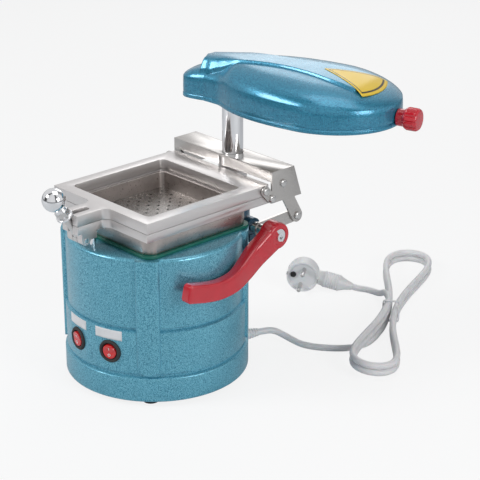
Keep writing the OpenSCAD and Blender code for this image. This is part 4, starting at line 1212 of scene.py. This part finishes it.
@dataclass
class Switches:
    """Two round rockers in black bezels, each under a plain white plate."""

    wall: float = 92.0
    height: float = 56.0
    bezel: float = 12.0
    cap: float = 7.6
    tilt: float = math.radians(6)
    slope: float = 0.15
    face: float = 2.4
    drum: float = 93.0
    plate_rim: float = 0.35

    def on_wall(self, points: Array, turn: float) -> Array:
        """Stands points on the wall: +Z outwards, +Y up and +X along the wall."""
        out = heading(turn)
        foot = self.wall * out + np.array([0, 0, self.height])
        return stand(points, foot, out, heading(turn + 90))

    def ring(self, name: str, turn: float, node: str) -> None:
        """The bezel: a collar with a rounded rim and a dished face, open in the middle."""
        r = self.bezel
        profile = rounded_profile([(r - 2.4, -9, 0), (r - 2.3, -0.5, 0), (r, -0.5, 0.2),
                                   (r, 1.6, 0.8), (r - 1.4, 3.0, 0.8), (r - 3.4, 2.3, 0.6),
                                   (r - 3.6, -9, 0)], 5)
        solid(name, self.on_wall(lathe(profile, 72), turn), BLACK_PLASTIC, Body.ROOT,
              [node], 45, looped=True)

    def rocker(self, name: str, turn: float, node: str, body: Body) -> None:
        """The rocker: a round cap whose face is two planes that meet in a shallow valley."""
        share = np.concatenate([np.linspace(0.001, 0.9, 12), [0.95, 0.985, 1.0, 1.0]])
        fall = np.concatenate([np.zeros(12), [0.12, 0.45, 1.0, 7.0]])
        rings = lathe(np.stack([self.cap * share, self.face - fall], axis=1), 64)
        rings[..., 2] += np.sqrt(rings[..., 1] ** 2 + 0.6) * self.slope
        solid(name, self.on_wall(roll(rings, self.tilt), turn), RED_LENS, body,
              [node], 40)
        self.mark(f"{name}_line", turn, 3.2, False, body)
        self.mark(f"{name}_ring", turn, -3.4, True, body)

    def mark(self, name: str, turn: float, y: float, hollow: bool, body: Body) -> None:
        """A white on line or off ring, laid on the rocker's face."""
        if hollow:
            rings = lathe(np.array([[1.0, -0.3], [1.5, -0.3], [1.5, 0.1], [1.0, 0.1]]), 32)
        else:
            bar = plate_rings(rounded_square(0.6, 2.8, 0.25, 3), 0.4, 0.1, 2)
            rings = bar - np.array([0, 0, 0.3])
        rings = roll(rings, math.copysign(math.atan(self.slope), y))
        rings = roll(rings + np.array([0, y, self.face + abs(y) * self.slope + 0.12]), self.tilt)
        solid(name, self.on_wall(rings, turn), WHITE_PLATE, body, sharp=30,
              looped=hollow)

    def plate(self, name: str, turn: float, z: float, width: float, height: float) -> None:
        """A bare plate bent round the drum: x becomes an angle, and the rim falls at its edges."""
        s, t = np.meshgrid(np.linspace(-1, 1, 25), np.linspace(-1, 1, 9), indexing="ij")
        edge = np.maximum(np.abs(s) ** 24, np.abs(t) ** 12)
        out = self.drum + self.plate_rim * (1 - edge) + 0.05
        angle = math.radians(turn) + s * width / 2 / self.drum
        grid = np.stack([out * np.cos(angle), out * np.sin(angle), z + t * height / 2], axis=-1)
        settle(thin_plate(name, grid, heading(turn)), WHITE_PLATE, Body.ROOT)

    def build(self) -> None:
        """Makes both switches and both plates."""
        self.ring("bezel_ring_vacuum", -98.0, "bezel_vacuum")
        self.ring("bezel_ring_heat", -70.0, "bezel_heat")
        self.rocker("vacuum_rocker", -98.0, "rocker_vacuum", Body.VACUUM_BUTTON)
        self.rocker("heat_rocker", -70.0, "rocker_heat", Body.HEAT_BUTTON)
        self.plate("plate_vacuum", -98.0, 75.0, 30.0, 10.0)
        self.plate("plate_heat", -71.0, 74.5, 31.0, 10.5)


def main() -> None:
    """Builds the scene: camera and cord first, then each sub-assembly."""
    logging.basicConfig(level=logging.INFO, format="%(name)s %(message)s")
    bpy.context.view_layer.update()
    Studio().build()
    MainsCord().build()
    for name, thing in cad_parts.items():
        dress(thing, NODE_FINISHES[name])
    for node, body, slot, width in (
            ("body_shell", Body.ROOT, "hammered_blue", 1.3),
            ("rear_bracket", Body.ROOT, "bracket_blue", 0.8),
            ("vacuum_tray", Body.ROOT, "cast_silver", 0.9),
            ("gasket", Body.ROOT, "green_seal", 0.5),
            ("lower_frame", Body.CARRIER, "cast_silver", 0.7),
            ("upper_frame", Body.TOP_FRAME, "cast_silver", 0.7),
            ("carrier_bracket", Body.CARRIER, "sheet_silver", 0.35)):
        eased(node, body, width)
    for part in (Hood, LiftLever, SwingClamp, FrameTrim, Switches):
        part().build()


if __name__ == "__main__":
    main()
